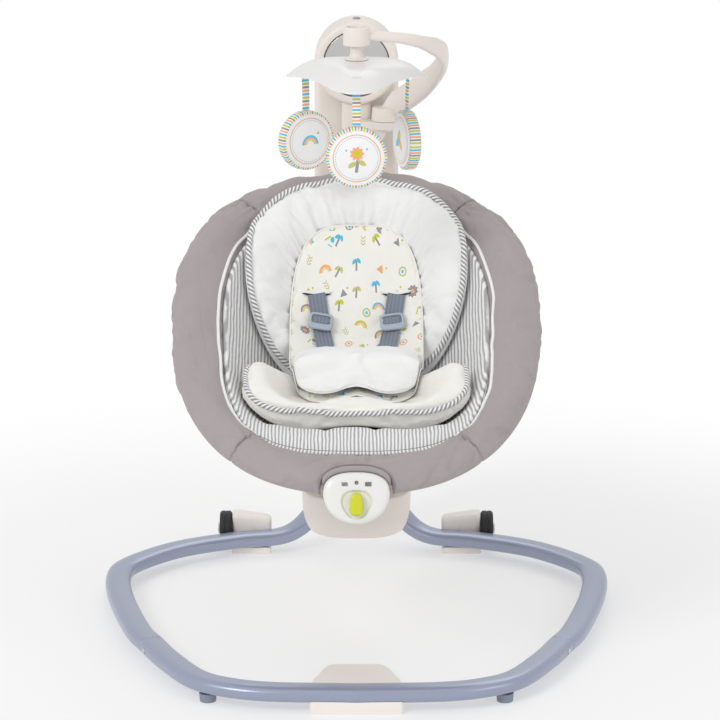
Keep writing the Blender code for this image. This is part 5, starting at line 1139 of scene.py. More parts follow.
mobile = {
    "hingeX": 0.041,
    "hingeY": 0.264,
    "shelfTop": 0.654,
    "shelfThick": 0.011,
    "bossRadius": 0.02,
    "bossHeight": 0.02,
    "y": 0.03,
    "cupRadius": 0.018,
    "cupTop": 0.8255,
    "cupHeight": 0.025,
    "canopyRadius": 0.1,
    "canopyTop": 0.781,
    "canopyRim": 0.753,
    "canopyThick": 0.0022,
    "ribbonReach": 0.08,
    "ribbonDrop": 0.052,
    "toyPivot": 0.7566,
    "toyRadius": 0.041,
    "toyThick": 0.024,
    # name, azimuth of its ribbon, and which way the toy faces
    "toys": [("left", 150.0, 33.0), ("front", -90.0, 3.0), ("right", 30.0, -73.0)],
}
hingeX, hingeY, shelfTop = mobile["hingeX"], mobile["hingeY"], mobile["shelfTop"]
low = shelfTop - mobile["shelfThick"]
face = armY - arm["thickness"] / 2 - clearance
outline = [(0.002, shelfTop), (0.002, low - 0.026), (0.018, low - 0.026)]
outline += [(0.042 - 0.024 * short, low - 0.026 + 0.024 * come) for come, short in roundSteps(16)[1:]]
outline += [(hingeX, low), (hingeX, shelfTop)]
rows = []
centre = (0.02, low - 0.008)
for y, inset in ((hingeY - 0.011, 0.0016), (hingeY - 0.0105, 0.0006), (hingeY - 0.0094, 0.0), (face, 0.0)):
    rows.append([Vector((x + copysign(min(abs(x - centre[0]), inset), centre[0] - x), y,
        z + copysign(min(abs(z - centre[1]), inset), centre[1] - z))) for x, z in outline])
bracket = moulding("mobileBracket", skinMesh(rows), "swing", "mobile_bracket")
r = mobile["bossRadius"]
profile = roundedProfile([(0.0, low), (r, low), (r, shelfTop), (0.0, shelfTop)], 0.0012, 4)
overHinge, overSpindle = moveTo(hingeX, hingeY, 0), moveTo(0, mobile["y"], 0)
cutFrom(bracket, [turnedMesh(profile, overHinge, 96)], "UNION")
cutFrom(bracket, [rodMesh((hingeX, hingeY, low - 0.04), (hingeX, hingeY, shelfTop + 0.05), 0.0053),
    rodMesh((hingeX, hingeY, low - 0.04), (hingeX, hingeY, low), 0.009)], sharpFrom=35.0)

curve = [(hingeX, hingeY, 0.666), (0.062, 0.25, 0.684), (0.09, 0.21, 0.712), (0.112, 0.165, 0.742),
    (0.12, 0.12, 0.77), (0.11, 0.085, 0.788), (0.083, 0.055, 0.802), (0.05, 0.038, 0.81),
    (mobile["cupRadius"] - 0.004, mobile["y"], 0.8125)]
halfHeights = [0.01, 0.0185, 0.0185, 0.015, 0.0155, 0.0125, 0.0085, 0.0072, 0.006]


def curlSection(share):
    spot = share * (len(halfHeights) - 1)
    at = min(int(spot), len(halfHeights) - 2)
    t = ease(spot - at)
    high = halfHeights[at] * (1 - t) + halfHeights[at + 1] * t
    return oval(0.0085 - 0.0028 * share, high, 2.4, 36, pi / 36)


mobileArm = skinMesh(sweepRows(smoothPath(curve, 12), curlSection))
mobileArm = moulding("mobileArm", mobileArm, "mobile", "mobile_arm")
bossLow = shelfTop + clearance
bossTop = bossLow + mobile["bossHeight"]
profile = roundedProfile([(0.0, bossLow), (r, bossLow), (r - 0.002, bossTop), (0.0, bossTop)], 0.0022, 5)
boss = turnedMesh(profile, overHinge, 96)
cupR, cupTop, cupHigh = mobile["cupRadius"], mobile["cupTop"], mobile["cupHeight"]
cupLow = cupTop - cupHigh
profile = roundedProfile([(0.0, cupLow), (cupR, cupLow), (cupR, cupTop), (0.0, cupTop)], 0.0018, 5)
cutFrom(mobileArm, [boss, turnedMesh(profile, overSpindle, 96)], "UNION")
pinTop = shelfTop + mobile["bossHeight"] - 0.0035
floorZ = cupTop - cupHigh / 2
well = [(0.0, floorZ), (0.012, floorZ), (0.0125, cupTop - 0.004), (0.0142, cupTop + 0.001), (0.0, cupTop + 0.001)]
cutFrom(mobileArm, [rodMesh((hingeX, hingeY, bossLow - 0.01), (hingeX, hingeY, pinTop + clearance), 0.0053),
    rodMesh((0, mobile["y"], cupLow - 0.01), (0, mobile["y"], cupTop + 0.01), 0.0048),
    turnedMesh(well, overSpindle, 72)], sharpFrom=35.0)

canopyTop = mobile["canopyTop"]
underCup = cupLow - clearance
neck = underCup - canopyTop
profile = [(0.0, floorZ + 0.004), (0.004, floorZ + 0.0039), (0.0075, floorZ + 0.0033), (0.0088, floorZ + 0.0024),
    (0.009, floorZ + 0.0014), (0.009, floorZ + clearance), (0.0045, floorZ + clearance), (0.0045, underCup),
    (0.0078, underCup), (0.0081, underCup - neck * 0.06), (0.0082, underCup - neck * 0.45),
    (0.0089, underCup - neck * 0.62), (0.0105, underCup - neck * 0.78), (0.0132, underCup - neck * 0.9),
    (0.0158, canopyTop + 0.0012), (0.016, canopyTop + 0.0006), (0.0, canopyTop + 0.0006)]
spindle = turnedMesh(profile, overSpindle, 72)
moulding("mobileSpindle", sharpen(spindle, 35.0), "canopy", "mobile_spindle")


def canopyReach(angle):
    lobe = 0.5 + 0.5 * cos(3 * (angle + pi / 2))
    return mobile["canopyRadius"] * (0.72 + 0.33 * lobe**1.6)


def canopyHeight(reach, angle):
    # a broad flat crown, and a skirt that turns down and flicks out at its edge
    edge = canopyReach(angle)
    share = reach / edge
    drop = (canopyTop - mobile["canopyRim"]) * (0.1 + 0.86 * edge / mobile["canopyRadius"])
    return canopyTop - drop * (0.08 * share**2 + 1.06 * share**4.2 - 0.14 * share**14)


def canopyRow(share, drop):
    row = []
    for i in range(180):
        angle = full * i / 180
        reach = canopyReach(angle) * share
        height = canopyHeight(reach, angle) - drop
        row.append(Vector((reach * cos(angle), mobile["y"] + reach * sin(angle), height)))
    return row


thick = mobile["canopyThick"]
rows = [canopyRow(0.01 + 0.975 * k / 22, 0.0) for k in range(23)]
for k in range(1, 9):
    angle = pi * k / 8
    rows.append(canopyRow(0.985 + 0.012 * sin(angle), thick / 2 * (1 - cos(angle))))
rows += [canopyRow(0.01 + 0.975 * k / 22, thick) for k in range(21, -1, -1)]
canopy = addPiece("mobileCanopy", skinMesh(rows), whitePlastic, "canopy", "white_plastic", "mobile_canopy")


def ribbonSpot(azimuth):
    # where a ribbon hangs from the canopy
    angle = radians(azimuth)
    reach = mobile["ribbonReach"]
    return reach * cos(angle), mobile["y"] + reach * sin(angle), canopyHeight(reach, angle)


slots = []
for name, azimuth, facing in mobile["toys"]:
    place = moveTo(*ribbonSpot(azimuth)) @ Matrix.Rotation(radians(azimuth) + pi / 2, 4, "Z")
    slots.append(boxMesh((0.0125, 0.0026, 0.02), place, 0.0009))
cutFrom(canopy, slots, sharpFrom=40.0)


toyReach = mobile["toyRadius"] - 0.0006


def toyFace(x, y, side):
    # a padded disc: domed face, with small puckers at its edge
    share = min(1.0, hypot(x, y) / toyReach)
    half = mobile["toyThick"] / 2
    rise = half * 0.56 + half * 0.42 * (1 - share**3.2)
    angle = atan2(y, x)
    pucker = 0.0007 * sin(23 * angle + 2 * sin(5 * angle)) * exp(-((1 - share) / 0.1) ** 2)
    return side * (rise + pucker * (share < 0.995))


def discPoint(a, b, radius):
    # a square grid bent into a disc
    reach = max(abs(a), abs(b))
    angle = atan2(b, a)
    return radius * reach * cos(angle), radius * reach * sin(angle)


def toyMeshes(place):
    face = toyReach * 0.905
    half = mobile["toyThick"] / 2
    count = 30
    faces = []
    for side in (1, -1):
        marks = [[discPoint(2 * i / count - 1, 2 * j / count - 1, face) for j in range(count + 1)]
            for i in range(count + 1)]
        rows = [[place @ Vector((x, y, toyFace(x, y, side))) for x, y in row] for row in marks]
        uvAt = lambda i, j, s=side, m=marks: (m[i][j][0] * s, m[i][j][1])
        faces.append(skinMesh(rows, uvAt, wrapColumns=False, caps=False))
    # the banded strip round the side turns a little way onto both faces
    turns = [(toyReach * t, toyFace(toyReach * t, 0.0, -1)) for t in (0.905, 0.935, 0.965, 0.99)]
    turns += [(mobile["toyRadius"] - 0.0006 * (k / 4 - 1) ** 4 - 0.0002, half * 0.57 * (k / 4 - 1))
        for k in range(9)]
    turns += [(toyReach * t, toyFace(toyReach * t, 0.0, 1)) for t in (0.99, 0.965, 0.935, 0.905)]
    circle = [(cos(full * i / 120), sin(full * i / 120)) for i in range(120)]
    rows = [[place @ Vector((radius * x, radius * y, height)) for x, y in circle] for radius, height in turns]
    around = full * mobile["toyRadius"] / 120
    gusset = skinMesh(rows, lambda i, j: (j * around, i * half * 0.14), caps=False)
    seams = []
    for side in (-1, 1):
        height = toyFace(face, 0.0, side) + 0.0002 * side
        seams.append(cordMesh([place @ Vector((face * x, face * y, height)) for x, y in circle], 0.00055, 8, True))
    return faces + [gusset] + seams


for name, azimuth, facing in mobile["toys"]:
    x, y, high = ribbonSpot(azimuth)
    top = mobile["toyPivot"]
    ribbonTop = high - mobile["canopyThick"] - 0.0045 - top
    yaw = Matrix.Rotation(radians(facing), 4, "Z")
    place = moveTo(x, y, top) @ yaw
    rows = []
    for k in range(27):
        z = ribbonTop - (mobile["ribbonDrop"] + ribbonTop) * k / 26
        lean = 0.0009 * sin(k / 26 * full) * 0.4
        plump = 1 + 0.4 * sin(k / 26 * pi)
        rows.append([place @ Vector((a, b * plump + lean, z)) for a, b in oval(0.0055, 0.00075, 5.0, 20)])
    ribbon = skinMesh(rows, lambda i, j: (i * 0.002, j * 0.0012))
    addPiece(name + "Ribbon", ribbon, bandCloth, name + "_hanging_toy", "cream_cloth", name + "_ribbon")
    centre = top - mobile["ribbonDrop"] - clearance - mobile["toyRadius"]
    place = moveTo(x, y, centre) @ yaw @ turnTo((0, -1, 0))
    # turnTo leaves +X or +Y upward by its own choice, so the print is turned to stand upright
    up = place.to_3x3().inverted() @ Vector((0, 0, 1))
    place = place @ Matrix.Rotation(atan2(up.y, up.x) - pi / 2, 4, "Z")
    toy = addPiece(name + "Toy", joinMeshes(toyMeshes(place)), [toyCloths[name], toyCloths[name], bandCloth,
        whitePiping, whitePiping], name + "_hanging_toy", "toy_cloth", name + "_toy")
print("mobile and toys built")


# Seat: a ring tube in a taupe roll, a striped well, and the padding in it

seat = {
    "y": -0.05,
    "z": 0.4315,
    "tilt": 27.7,
    "halfWidth": 0.214,
    "halfLength": 0.2825,
    "square": 2.5,
    "egg": 0.045,  # how much wider the outline is behind
    "rollWidth": 0.0345,
    "rollHeight": 0.0195,
    "linerDepth": 0.14,
    "linerThick": 0.0035,
    "wellSquare": 2.6,
    "wellFrontSquare": 3.5,
    "shelf": 1.09,  # how flat the well is inside its front edge
    "seams": (52, 128, -52, -128),  # where the roll's panels meet, in degrees round the rim
}
tilt = radians(seat["tilt"])
slope = Vector((0, cos(tilt), sin(tilt)))
square = Vector((0, -sin(tilt), cos(tilt)))
linerInset = seat["linerThick"] + 0.0012
wellWidth = seat["halfWidth"] - seat["rollWidth"] - linerInset
wellLength = seat["halfLength"] - seat["rollWidth"] - linerInset


def seatPoint(u, v, h):
    return Vector((u, seat["y"], seat["z"])) + slope * v + square * h


def seatPlace(point):
    away = point - Vector((0, seat["y"], seat["z"]))
    return away.x, away.dot(slope), away.dot(square)


def eggPoint(halfWidth, halfLength, back, front, angle):
    c, s = cos(angle), sin(angle)
    power = back if s >= 0 else front
    along = powered(s, power)
    return halfWidth * (1 + seat["egg"] * along) * powered(c, power), halfLength * along


def rimPoint(angle):
    return Vector(eggPoint(seat["halfWidth"], seat["halfLength"], seat["square"], seat["square"], angle))


def rimOutward(angle):
    ahead = rimPoint(angle + 0.02) - rimPoint(angle - 0.02)
    return Vector((ahead.y, -ahead.x)).normalized()


def shareIn(halfWidth, halfLength, power, u, v):
    return (abs(u / halfWidth) ** power + abs(v / halfLength) ** power) ** (1 / power)


def wellShare(u, v):
    along = max(-1.0, min(1.0, v / wellLength))
    power = seat["wellSquare"] if v >= 0 else seat["wellFrontSquare"]
    return shareIn(wellWidth * (1 + seat["egg"] * along), wellLength, power, u, v)


def wellHeight(u, v):
    share = min(wellShare(u, v), 1.0)
    across, along = (u / wellWidth) ** 2, (v / wellLength) ** 2
    steep = 2 + 2 * across / (across + along + 1e-6)
    fromFront = atan2(abs(u / wellWidth), -v / wellLength)
    shelf = seat["shelf"] / (1 + exp((fromFront - 0.85) / 0.12))
    return -seat["linerDepth"] * (1 - share**steep) ** (1.15 + shelf)


def seatHeight(u, v):
    share = wellShare(u, v)
    if share <= 1.0:
        return wellHeight(u, v)
    beyond = max(0.0, hypot(u, v) * (1 - 1 / share) - linerInset)
    inward = max(0.0, 1 - beyond / seat["rollWidth"])
    return seat["rollHeight"] * sqrt(1 - inward**2)


def slopes(heightAt, u, v, step=0.004):
    across = (heightAt(u + step, v) - heightAt(u - step, v)) / (2 * step)
    return across, (heightAt(u, v + step) - heightAt(u, v - step)) / (2 * step)


def restHeight(u, v, gap=0.0031):
    # what lies on the seat rests a gap above it, measured square to its slope
    steep = min(hypot(*slopes(seatHeight, u, v)), 3.0)
    return seatHeight(u, v) + gap * sqrt(1 + steep**2)


def rollReach(angle):
    # how far the roll reaches inward from the ring tube: to the well's edge, less the liner's gap
    here, outward = rimPoint(angle), rimOutward(angle)
    low, high = 0.0118, 0.069
    for _ in range(24):
        reach = (low + high) / 2
        spot = here - outward * (reach + linerInset)
        if wellShare(spot.x, spot.y) > 1.0:
            low = reach
        else:
            high = reach
    return low


reaches = [rollReach(full * i / 360) for i in range(360)]


def reachAt(angle):
    spot = (angle / full * 360) % 360
    at = int(spot)
    part = spot - at
    return reaches[at % 360] * (1 - part) + reaches[(at + 1) % 360] * part


seams = [radians(d) for d in seat["seams"]]
rimRadius = 0.25  # metres, to turn an angle round the rim into a length


def seamDistance(angle):
    # metres to the nearest seam, with its sign
    gaps = [remainder(angle - s, full) for s in seams]
    return min(gaps, key=abs) * rimRadius


def rollPoint(angle, turnBy, grow=0.0):
    # a point on the roll's skin: turnBy goes round the section, 0 outward and a quarter turn up
    here, outward = rimPoint(angle), rimOutward(angle)
    away = seamDistance(angle)
    pinch = 1 - 0.16 * exp(-(away / 0.0022) ** 2) - 0.05 * exp(-(away / 0.012) ** 2)
    c, s = cos(turnBy), sin(turnBy)
    wide = seat["rollWidth"] if c > 0 else reachAt(angle)
    upper = max(0.0, s)
    crease = pleat(turnBy * 0.03, abs(away), 0.0075, 0.02, 0.0013) * upper
    wave = 0.0011 * noise.noise(Vector((angle * 5.0, turnBy * 0.7, 3.1))) * upper
    a = (wide * (1 - (1 - pinch) * 0.25) + grow) * c
    b = (seat["rollHeight"] * pinch + grow) * s + crease + wave
    spot = here + outward * a
    return seatPoint(spot.x, spot.y, b)


angles = [full * i / 300 for i in range(300)]
for s in seams:
    angles += [(s + d / rimRadius) % full for d in (-0.0042, -0.0026, -0.0014, -0.0006, 0, 0.0006, 0.0014, 0.0026,
        0.0042)]
angles = sorted(set(round(a, 6) for a in angles))
rollSides = 52
rows = [[rollPoint(angle, full * k / rollSides) for k in range(rollSides)] for angle in angles]
rollUv = lambda i, j: (angles[i % len(angles)] * rimRadius + (full * rimRadius if i == len(angles) else 0),
    j * 0.0034)
rim = seatPiece("rimCover", skinMesh(rows, rollUv, wrapRows=True, caps=False), taupeCloth, "taupe_cloth",
    "rim_cover")
held = []
for i, angle in enumerate(angles):
    for k in range(rollSides):
        if sin(full * k / rollSides) < -0.1 or abs(seamDistance(angle)) < 0.0008:
            held.append(i * rollSides + k)
billow(rim, held, 0.035, 0.0045)
turnTable = sorted((atan2(rimPoint(full * i / 720).y, rimPoint(full * i / 720).x) % full, full * i / 720)
    for i in range(720))


def rimAngle(u, v):
    # the outline's own angle at a place on the roll
    polar = atan2(v, u) % full
    at = min(719, int(polar / full * 720))
    near = min(turnTable[max(0, at - 12):at + 13], key=lambda pair: abs(pair[0] - polar))
    return near[1] + polar - near[0]


def rimFolds(point, normal):
    u, v, h = seatPlace(point)
    angle = rimAngle(u, v)
    away = seamDistance(angle)
    across = hypot(u, v) - rimPoint(angle).length
    top = ease((normal.dot(square) + 0.35) / 0.7)
    along = angle * rimRadius
    near = exp(-(abs(away) / 0.03) ** 2)
    folds = pleat(across * 1.2 + h, abs(away) * 0.7, 0.01, 0.026, 0.003)
    lean = 0.8 if u > 0 else -0.8
    folds += 0.0026 * noise.noise(Vector((along * 14, across * 38 + along * lean * 18, 1.7)))
    folds += crease(along + across * 0.8 * lean, across - along * 0.35 * lean, 0.02, 0.09, 0.0013)
    # cloth drawn in by the elastic over the unit
    arch = exp(-((u / 0.052) ** 4)) * exp(-((v + 0.262) / 0.03) ** 2) * (v < -0.2)
    folds += arch * pleat(u, 0.0, 0.0085, 1.0, 0.0022)
    return top * folds * (1 - 0.75 * exp(-(away / 0.0022) ** 2)) * (0.65 + 0.35 * near + arch)


ruffle(rim, rimFolds)

ringRoute = [seatPoint(*rimPoint(full * i / 220), 0.0) for i in range(220)]
seatPiece("seatRingTube", cordMesh(ringRoute, 0.011, 24, True), paint, "tube", "seat_ring_tube")

# stitched seams across the roll, and the white cord along its inner edge
rimTree = treeOf(rim)
for index, s in enumerate(seams):
    path = [rimTree.find_nearest(rollPoint(s, radians(d), 0.0))[0] for d in range(-30, 211, 4)]
    path = smoothPath(path[::2], 3)
    seatPiece("rimSeam%d" % index, cordMesh(path, 0.00055, 8), threadCloth, "taupe_cloth")
for side, name in ((1, "Right"), (-1, "Left")):
    path = []
    for i in range(91):
        angle = radians(-51.5 + 97.0 * i / 90)
        here, outward = rimPoint(angle), rimOutward(angle)
        start = here - outward * (reachAt(angle) + 0.02)
        start = seatPoint(side * start.x, start.y, 0.0058)
        toward = slope * outward.y + Vector((side * outward.x, 0, 0))
        hit = rimTree.ray_cast(start, toward)
        if hit[0] is not None and (hit[0] - start).length < 0.04:
            path.append(hit[0] - toward * 0.0008 + square * 0.0004)
    path = smoothPath(path[::3], 5)
    seatPiece("innerPiping" + name, cordMesh(path, 0.0022, 14), whitePiping, "white_cloth")
path = [rollPoint(radians(-52.5 - 75.0 * i / 160), radians(150), 0.0002) for i in range(161)]
seatPiece("rimTopStitch", cordMesh(path, 0.00045, 8), threadCloth, "taupe_cloth")

# the striped well, with three soft puffs on its front shelf
puffNotches = (-0.0405, 0.0245)


def linerHeight(u, v, share):
    h = wellHeight(u, v)
    front = ease((-v - 0.15) / 0.03) * ease((0.13 - abs(u)) / 0.03)
    puff = 0.0085 * front * sin(pi * min(1.0, max(0.0, (share - 0.62) / 0.38))) ** 0.8
    for notch in puffNotches:
        near = exp(-((u - notch) / 0.0075) ** 2)
        deep = exp(-((v + 0.172) / 0.016) ** 2)
        puff -= 0.006 * near * deep * front
        puff -= 0.0018 * exp(-((u - notch) / 0.004) ** 2) * front
    loose = 0.0022 * noise.noise(Vector((u * 14, v * 22, 1.3))) * sin(pi * min(share, 1.0)) ** 0.7
    return h + puff + loose


rows, spots = [], []
linerRows, linerSides = 64, 240
wellEdge = [eggPoint(wellWidth, wellLength, seat["wellSquare"], seat["wellFrontSquare"], full * j / linerSides)
    for j in range(linerSides)]
for i in range(linerRows + 1):
    share = 0.012 + 0.988 * (i / linerRows) ** 0.8
    spots.append([(u * share, v * share) for u, v in wellEdge])
    rows.append([seatPoint(u, v, linerHeight(u, v, share)) for u, v in spots[-1]])
# the last rows turn outward under the roll, where the cloth is sewn on
for out, up in ((0.0018, 0.0008), (0.0038, 0.0006), (0.0058, -0.0008)):
    grown = [(u, v, 1 + out / hypot(u, v)) for u, v in wellEdge]
    rows.append([seatPoint(u * grow, v * grow, up) for u, v, grow in grown])
    spots.append([(u * (1 + out), v * (1 + out)) for u, v in spots[linerRows]])
acrossCache = {}


def acrossLength(u, v):
    # length of the cloth from the middle out to u, at this v
    key = round(v, 3)
    if key not in acrossCache:
        table = [0.0]
        last = wellHeight(0.0, key)
        for k in range(1, 101):
            here = wellHeight(0.00185 * k, key)
            table.append(table[-1] + hypot(0.00185, here - last))
            last = here
        acrossCache[key] = table
    spot = min(abs(u) / 0.00185, 99.999)
    at = int(spot)
    table = acrossCache[key]
    return copysign(table[at] + (table[at + 1] - table[at]) * (spot - at), u)


linerMarks = [[(u * 0.85 + acrossLength(u, v) * 0.15, v * 1.15) for u, v in marks] for marks in spots]
linerMark = lambda i, j: linerMarks[i][j % linerSides]
liner = seatPiece("seatLiner", skinMesh(rows, linerMark, caps=False), [stripedCloth, taupeCloth],
    "grey_striped_cloth", "seat_liner")
wellMiddle = seatPoint(0, 0, wellHeight(0, 0))
closeHole(liner.data, lambda spot: (spot - wellMiddle).length < 0.02, square)
thicken(liner, seat["linerThick"], 1)
print("rim and well built")


# Padding: each pad has its middle (v), half sizes, and the powers of its outline behind and in front

support = {
    "v": 0.134, "width": 0.154, "length": 0.128, "back": 2.3, "front": 2.3,
    "thick": 0.047, "recess": 0.56,
    "sides": 168, "underRows": 5,
    "seam": 0.975, "grow": 0.03, "cap": 0.006, "fill": 0.7,  # what the filling does
}
cushion = {
    "v": -0.092, "width": 0.152, "length": 0.074, "back": 2.6, "front": 3.5,
    "thick": 0.048, "brow": 0.007, "gap": 0.0029,
    "sides": 168, "underRows": 5,
    "seam": 0.999, "grow": 0.03, "cap": 0.005, "fill": 0.8,
    "pipingShare": 0.955,
}
innerPad = {
    "v": 0.064, "width": 0.092, "length": 0.14, "back": 3.3, "front": 4.5,
    "thick": 0.007, "lift": 0.0045,
    "sides": 152, "underRows": 4,
    "seam": 0.97, "grow": 0.025, "cap": 0.0022, "fill": 0.5,
}
crotch = {
    "v": -0.022, "width": 0.085, "length": 0.05, "back": 3.1, "front": 3.6,
    "thick": 0.011, "lift": 0.0072, "arch": 0.0128,
    "sides": 128, "underRows": 4,
    "seam": 0.985, "grow": 0.03, "cap": 0.0035, "fill": 0.6,
}
pipingRadius = 0.0041
padBase = 0.003  # from a pad's underside to where its upper skin starts


def outlineOf(pad, angle):
    c, s = cos(angle), sin(angle)
    power = pad["back"] if s >= 0 else pad["front"]
    return pad["width"] * powered(c, power), pad["length"] * powered(s, power)


def shareOf(pad, u, v, power=None):
    # 0 in the pad's middle, 1 at its outline
    power = power or (pad["back"] if v >= pad["v"] else pad["front"])
    return shareIn(pad["width"], pad["length"], power, u, v - pad["v"])


def angleOf(pad, u, v):
    return atan2((v - pad["v"]) / pad["length"], u / pad["width"])


def edgeOf(share, power, root):
    return max(0.0, 1 - share**power) ** root


def supportBody(share, angle):
    # the support's upper skin, before its edge turns down
    fromBelow = abs(remainder(angle + pi / 2, full))
    opening = 1 - exp(-(fromBelow / 0.75) ** 2)
    roll = exp(-((share - 0.8) / 0.15) ** 2) * opening
    recess = support["recess"]
    return support["thick"] * (recess + (1 - recess) * roll)


def supportHigh(u, v, share, angle):
    return restHeight(u, v) + padBase + supportBody(share, angle) * edgeOf(share, 9, 0.5)


def cushionDish(u, v, share):
    low = restHeight(u, v, cushion["gap"]) + padBase
    dish = low + cushion["thick"] * (0.86 + 0.14 * share**2)
    rise = ease((share - 0.64) / 0.28) / (1 + exp((v + 0.05) / 0.014))
    return dish + (cushion["brow"] - dish) * rise


def cushionHigh(u, v, share, angle):
    low = restHeight(u, v, cushion["gap"]) + padBase
    return low + (cushionDish(u, v, share) - low) * edgeOf(share, 14, 0.45)


def padFloor(u, v):
    # what the inner pad lies on: the cushion in front, the support behind
    levelBack = supportHigh(u, v, min(shareOf(support, u, v), 0.8), angleOf(support, u, v))
    levelSeat = cushionDish(u, v, min(shareOf(cushion, u, v), 1.0))
    blend = 1 / (1 + exp(-(v - 0.024) / 0.009))
    return levelSeat * (1 - blend) + levelBack * blend


def padLow(u, v, share, angle):
    return padFloor(u, v) + innerPad["lift"]


def padHigh(u, v, share, angle):
    plump = (innerPad["thick"] - 0.002) * (1 - share**8)
    dent = 0.0016 * noise.noise(Vector((u * 30, v * 26, 9.2)))
    return padFloor(u, v) + innerPad["lift"] + 0.002 + plump + dent * (1 - share**4)


def edgeShares(power, root, start, inner, outer):
    # shares of an outline: even steps to the start, then steps that climb evenly down the rounded edge
    shares = [0.03 + (start - 0.03) * k / inner for k in range(inner + 1)]
    first = (1 - start**power) ** root
    for k in range(1, outer + 1):
        e = first * (1 - k / outer)
        shares.append((1 - e ** (1 / root)) ** (1 / power))
    return shares


def makePad(name, node, pad, finish, slotName, shares, low, high, folds, outline=None, alsoHeld=None):
    # a closed pad: upper skin from the middle out, round the edge, and back in below
    sides, under = pad["sides"], pad["underRows"]
    angles = [full * j / sides for j in range(sides)]
    edge = [outline(angle) if outline else outlineOf(pad, angle) for angle in angles]
    rows, spots = [], []
    for share, height in [(s, high) for s in shares] + [(1 - 0.97 * k / under, low) for k in range(1, under + 1)]:
        marks = [(du * share, pad["v"] + dv * share) for du, dv in edge]
        rows.append([seatPoint(u, v, height(u, v, share, angle)) for (u, v), angle in zip(marks, angles)])
        spots.append(marks)
    mesh = skinMesh(rows, lambda i, j: spots[i][j % sides])
    piece = seatPiece(name, mesh, finish, slotName, node)
    # the underside, the edge below its seam, and whatever else is asked for stay as they are
    held = list(range(len(shares) * sides, len(mesh.vertices)))
    for i, share in enumerate(shares):
        if share > pad["seam"] or (alsoHeld and alsoHeld(share)):
            held += range(i * sides, (i + 1) * sides)
    billow(piece, held, pad["grow"], pad["cap"])
    ruffle(piece, folds)
    return piece


def supportFolds(point, normal):
    # gathers that run out from the printed pad, and short ones in from the piping
    u, v, h = seatPlace(point)
    if normal.dot(square) < 0.05:
        return 0.0
    angle, share = angleOf(support, u, v), shareOf(support, u, v)
    fromPad = max(0.0, shareOf(innerPad, u, v) - 1.0) * 0.1
    folds = pleat(angle * 0.115, fromPad, 0.011, 0.03, 0.0048)
    folds += pleat(angle * 0.15 + 3.0, max(0.0, 0.96 - share) * 0.14, 0.008, 0.016, 0.002)
    folds += crease(angle * 0.13, share * 0.14, 0.06, 0.011, 0.0007) * ease((0.95 - share) / 0.2)
    return folds * ease((1.0 - share) / 0.06)


def cushionFolds(point, normal):
    u, v, h = seatPlace(point)
    away = abs(shareOf(cushion, u, v) - cushion["pipingShare"])
    folds = pleat(angleOf(cushion, u, v) * 0.12, away * 0.11, 0.0085, 0.011, 0.0016) * ease(away / 0.04)
    folds += 0.0012 * noise.noise(Vector((u * 28, v * 28, 6.1)))
    return folds * (normal.dot(square) > -0.5)


def padFolds(point, normal):
    u, v, h = seatPlace(point)
    inward = max(0.0, 1 - shareOf(innerPad, u, v)) * 0.1
    folds = pleat(angleOf(innerPad, u, v) * 0.11, inward, 0.008, 0.013, 0.0013) * ease(inward / 0.003)
    return (folds + crease(u + v * 0.5, v - u * 0.4, 0.028, 0.07, 0.0004)) * (normal.dot(square) > 0.1)


def pipingPath(piece, pad, share, first, last, count, proud):
    # a line along a made skin, near its edge
    tree = treeOf(piece)
    path = []
    for k in range(count + 1):
        du, dv = outlineOf(pad, radians(first + (last - first) * k / count))
        hit = tree.ray_cast(seatPoint(du * share, pad["v"] + dv * share, 0.2), -square)
        if hit[0] is not None:
            path.append(hit[0] + hit[1] * proud)
    for _ in range(6):
        path = path[:1] + [(a + b * 2 + c) / 4 for a, b, c in zip(path, path[1:], path[2:])] + path[-1:]
    return smoothPath(path[::3] + path[-1:], 4)


def edgeCord(name, pad, outline, share, height, count, radius, sides, finish, slotName):
    # a sewn edge round a pad
    path = []
    for k in range(count):
        du, dv = outline(full * k / count)
        u, v = du * share, pad["v"] + dv * share
        path.append(seatPoint(u, v, height(u, v)))
    seatPiece(name, cordMesh(path, radius, sides, True), finish, slotName)


# body support: a thick white horseshoe, gathered towards the printed pad
supportPiece = makePad("bodySupport", "body_support", support, whiteCloth, "white_cloth",
    edgeShares(9, 0.5, 0.86, 30, 13), lambda u, v, share, angle: restHeight(u, v), supportHigh, supportFolds,
    alsoHeld=lambda share: share < 0.56)
path = pipingPath(supportPiece, support, 0.968, -62, 242, 210, 0.0018)
seatPiece("supportPiping", cordMesh(path, pipingRadius, 16), pipingCloth, "striped_cloth")

# seat cushion: a boat shape, its brow and tips as high as the rim
cushionPiece = makePad("seatCushion", "seat_cushion", cushion, creamCloth, "white_cloth",
    edgeShares(14, 0.45, 0.88, 24, 14), lambda u, v, share, angle: restHeight(u, v, cushion["gap"]), cushionHigh,
    cushionFolds, alsoHeld=lambda share: abs(share - cushion["pipingShare"]) < 0.014 or share < 0.35)
path = pipingPath(cushionPiece, cushion, 0.962, -193, 13, 190, 0.0014)
seatPiece("cushionPiping", cordMesh(path, pipingRadius * 0.88, 16), pipingCloth, "striped_cloth")

# inner pad: thin, printed, sewn to the support at its edge
padShares = [0.03 + 0.97 * sin(pi / 2 * k / 34) ** 0.9 for k in range(35)]
padPiece = makePad("supportPad", "body_support_pad", innerPad, printCloth, "cream_cloth", padShares, padLow,
    padHigh, padFolds)
padTree = treeOf(padPiece)
edgeCord("padBinding", innerPad, lambda angle: outlineOf(innerPad, angle), 0.995,
    lambda u, v: padFloor(u, v) + innerPad["lift"] + 0.0018, 200, 0.0012, 10, creamCloth, "cream_cloth")


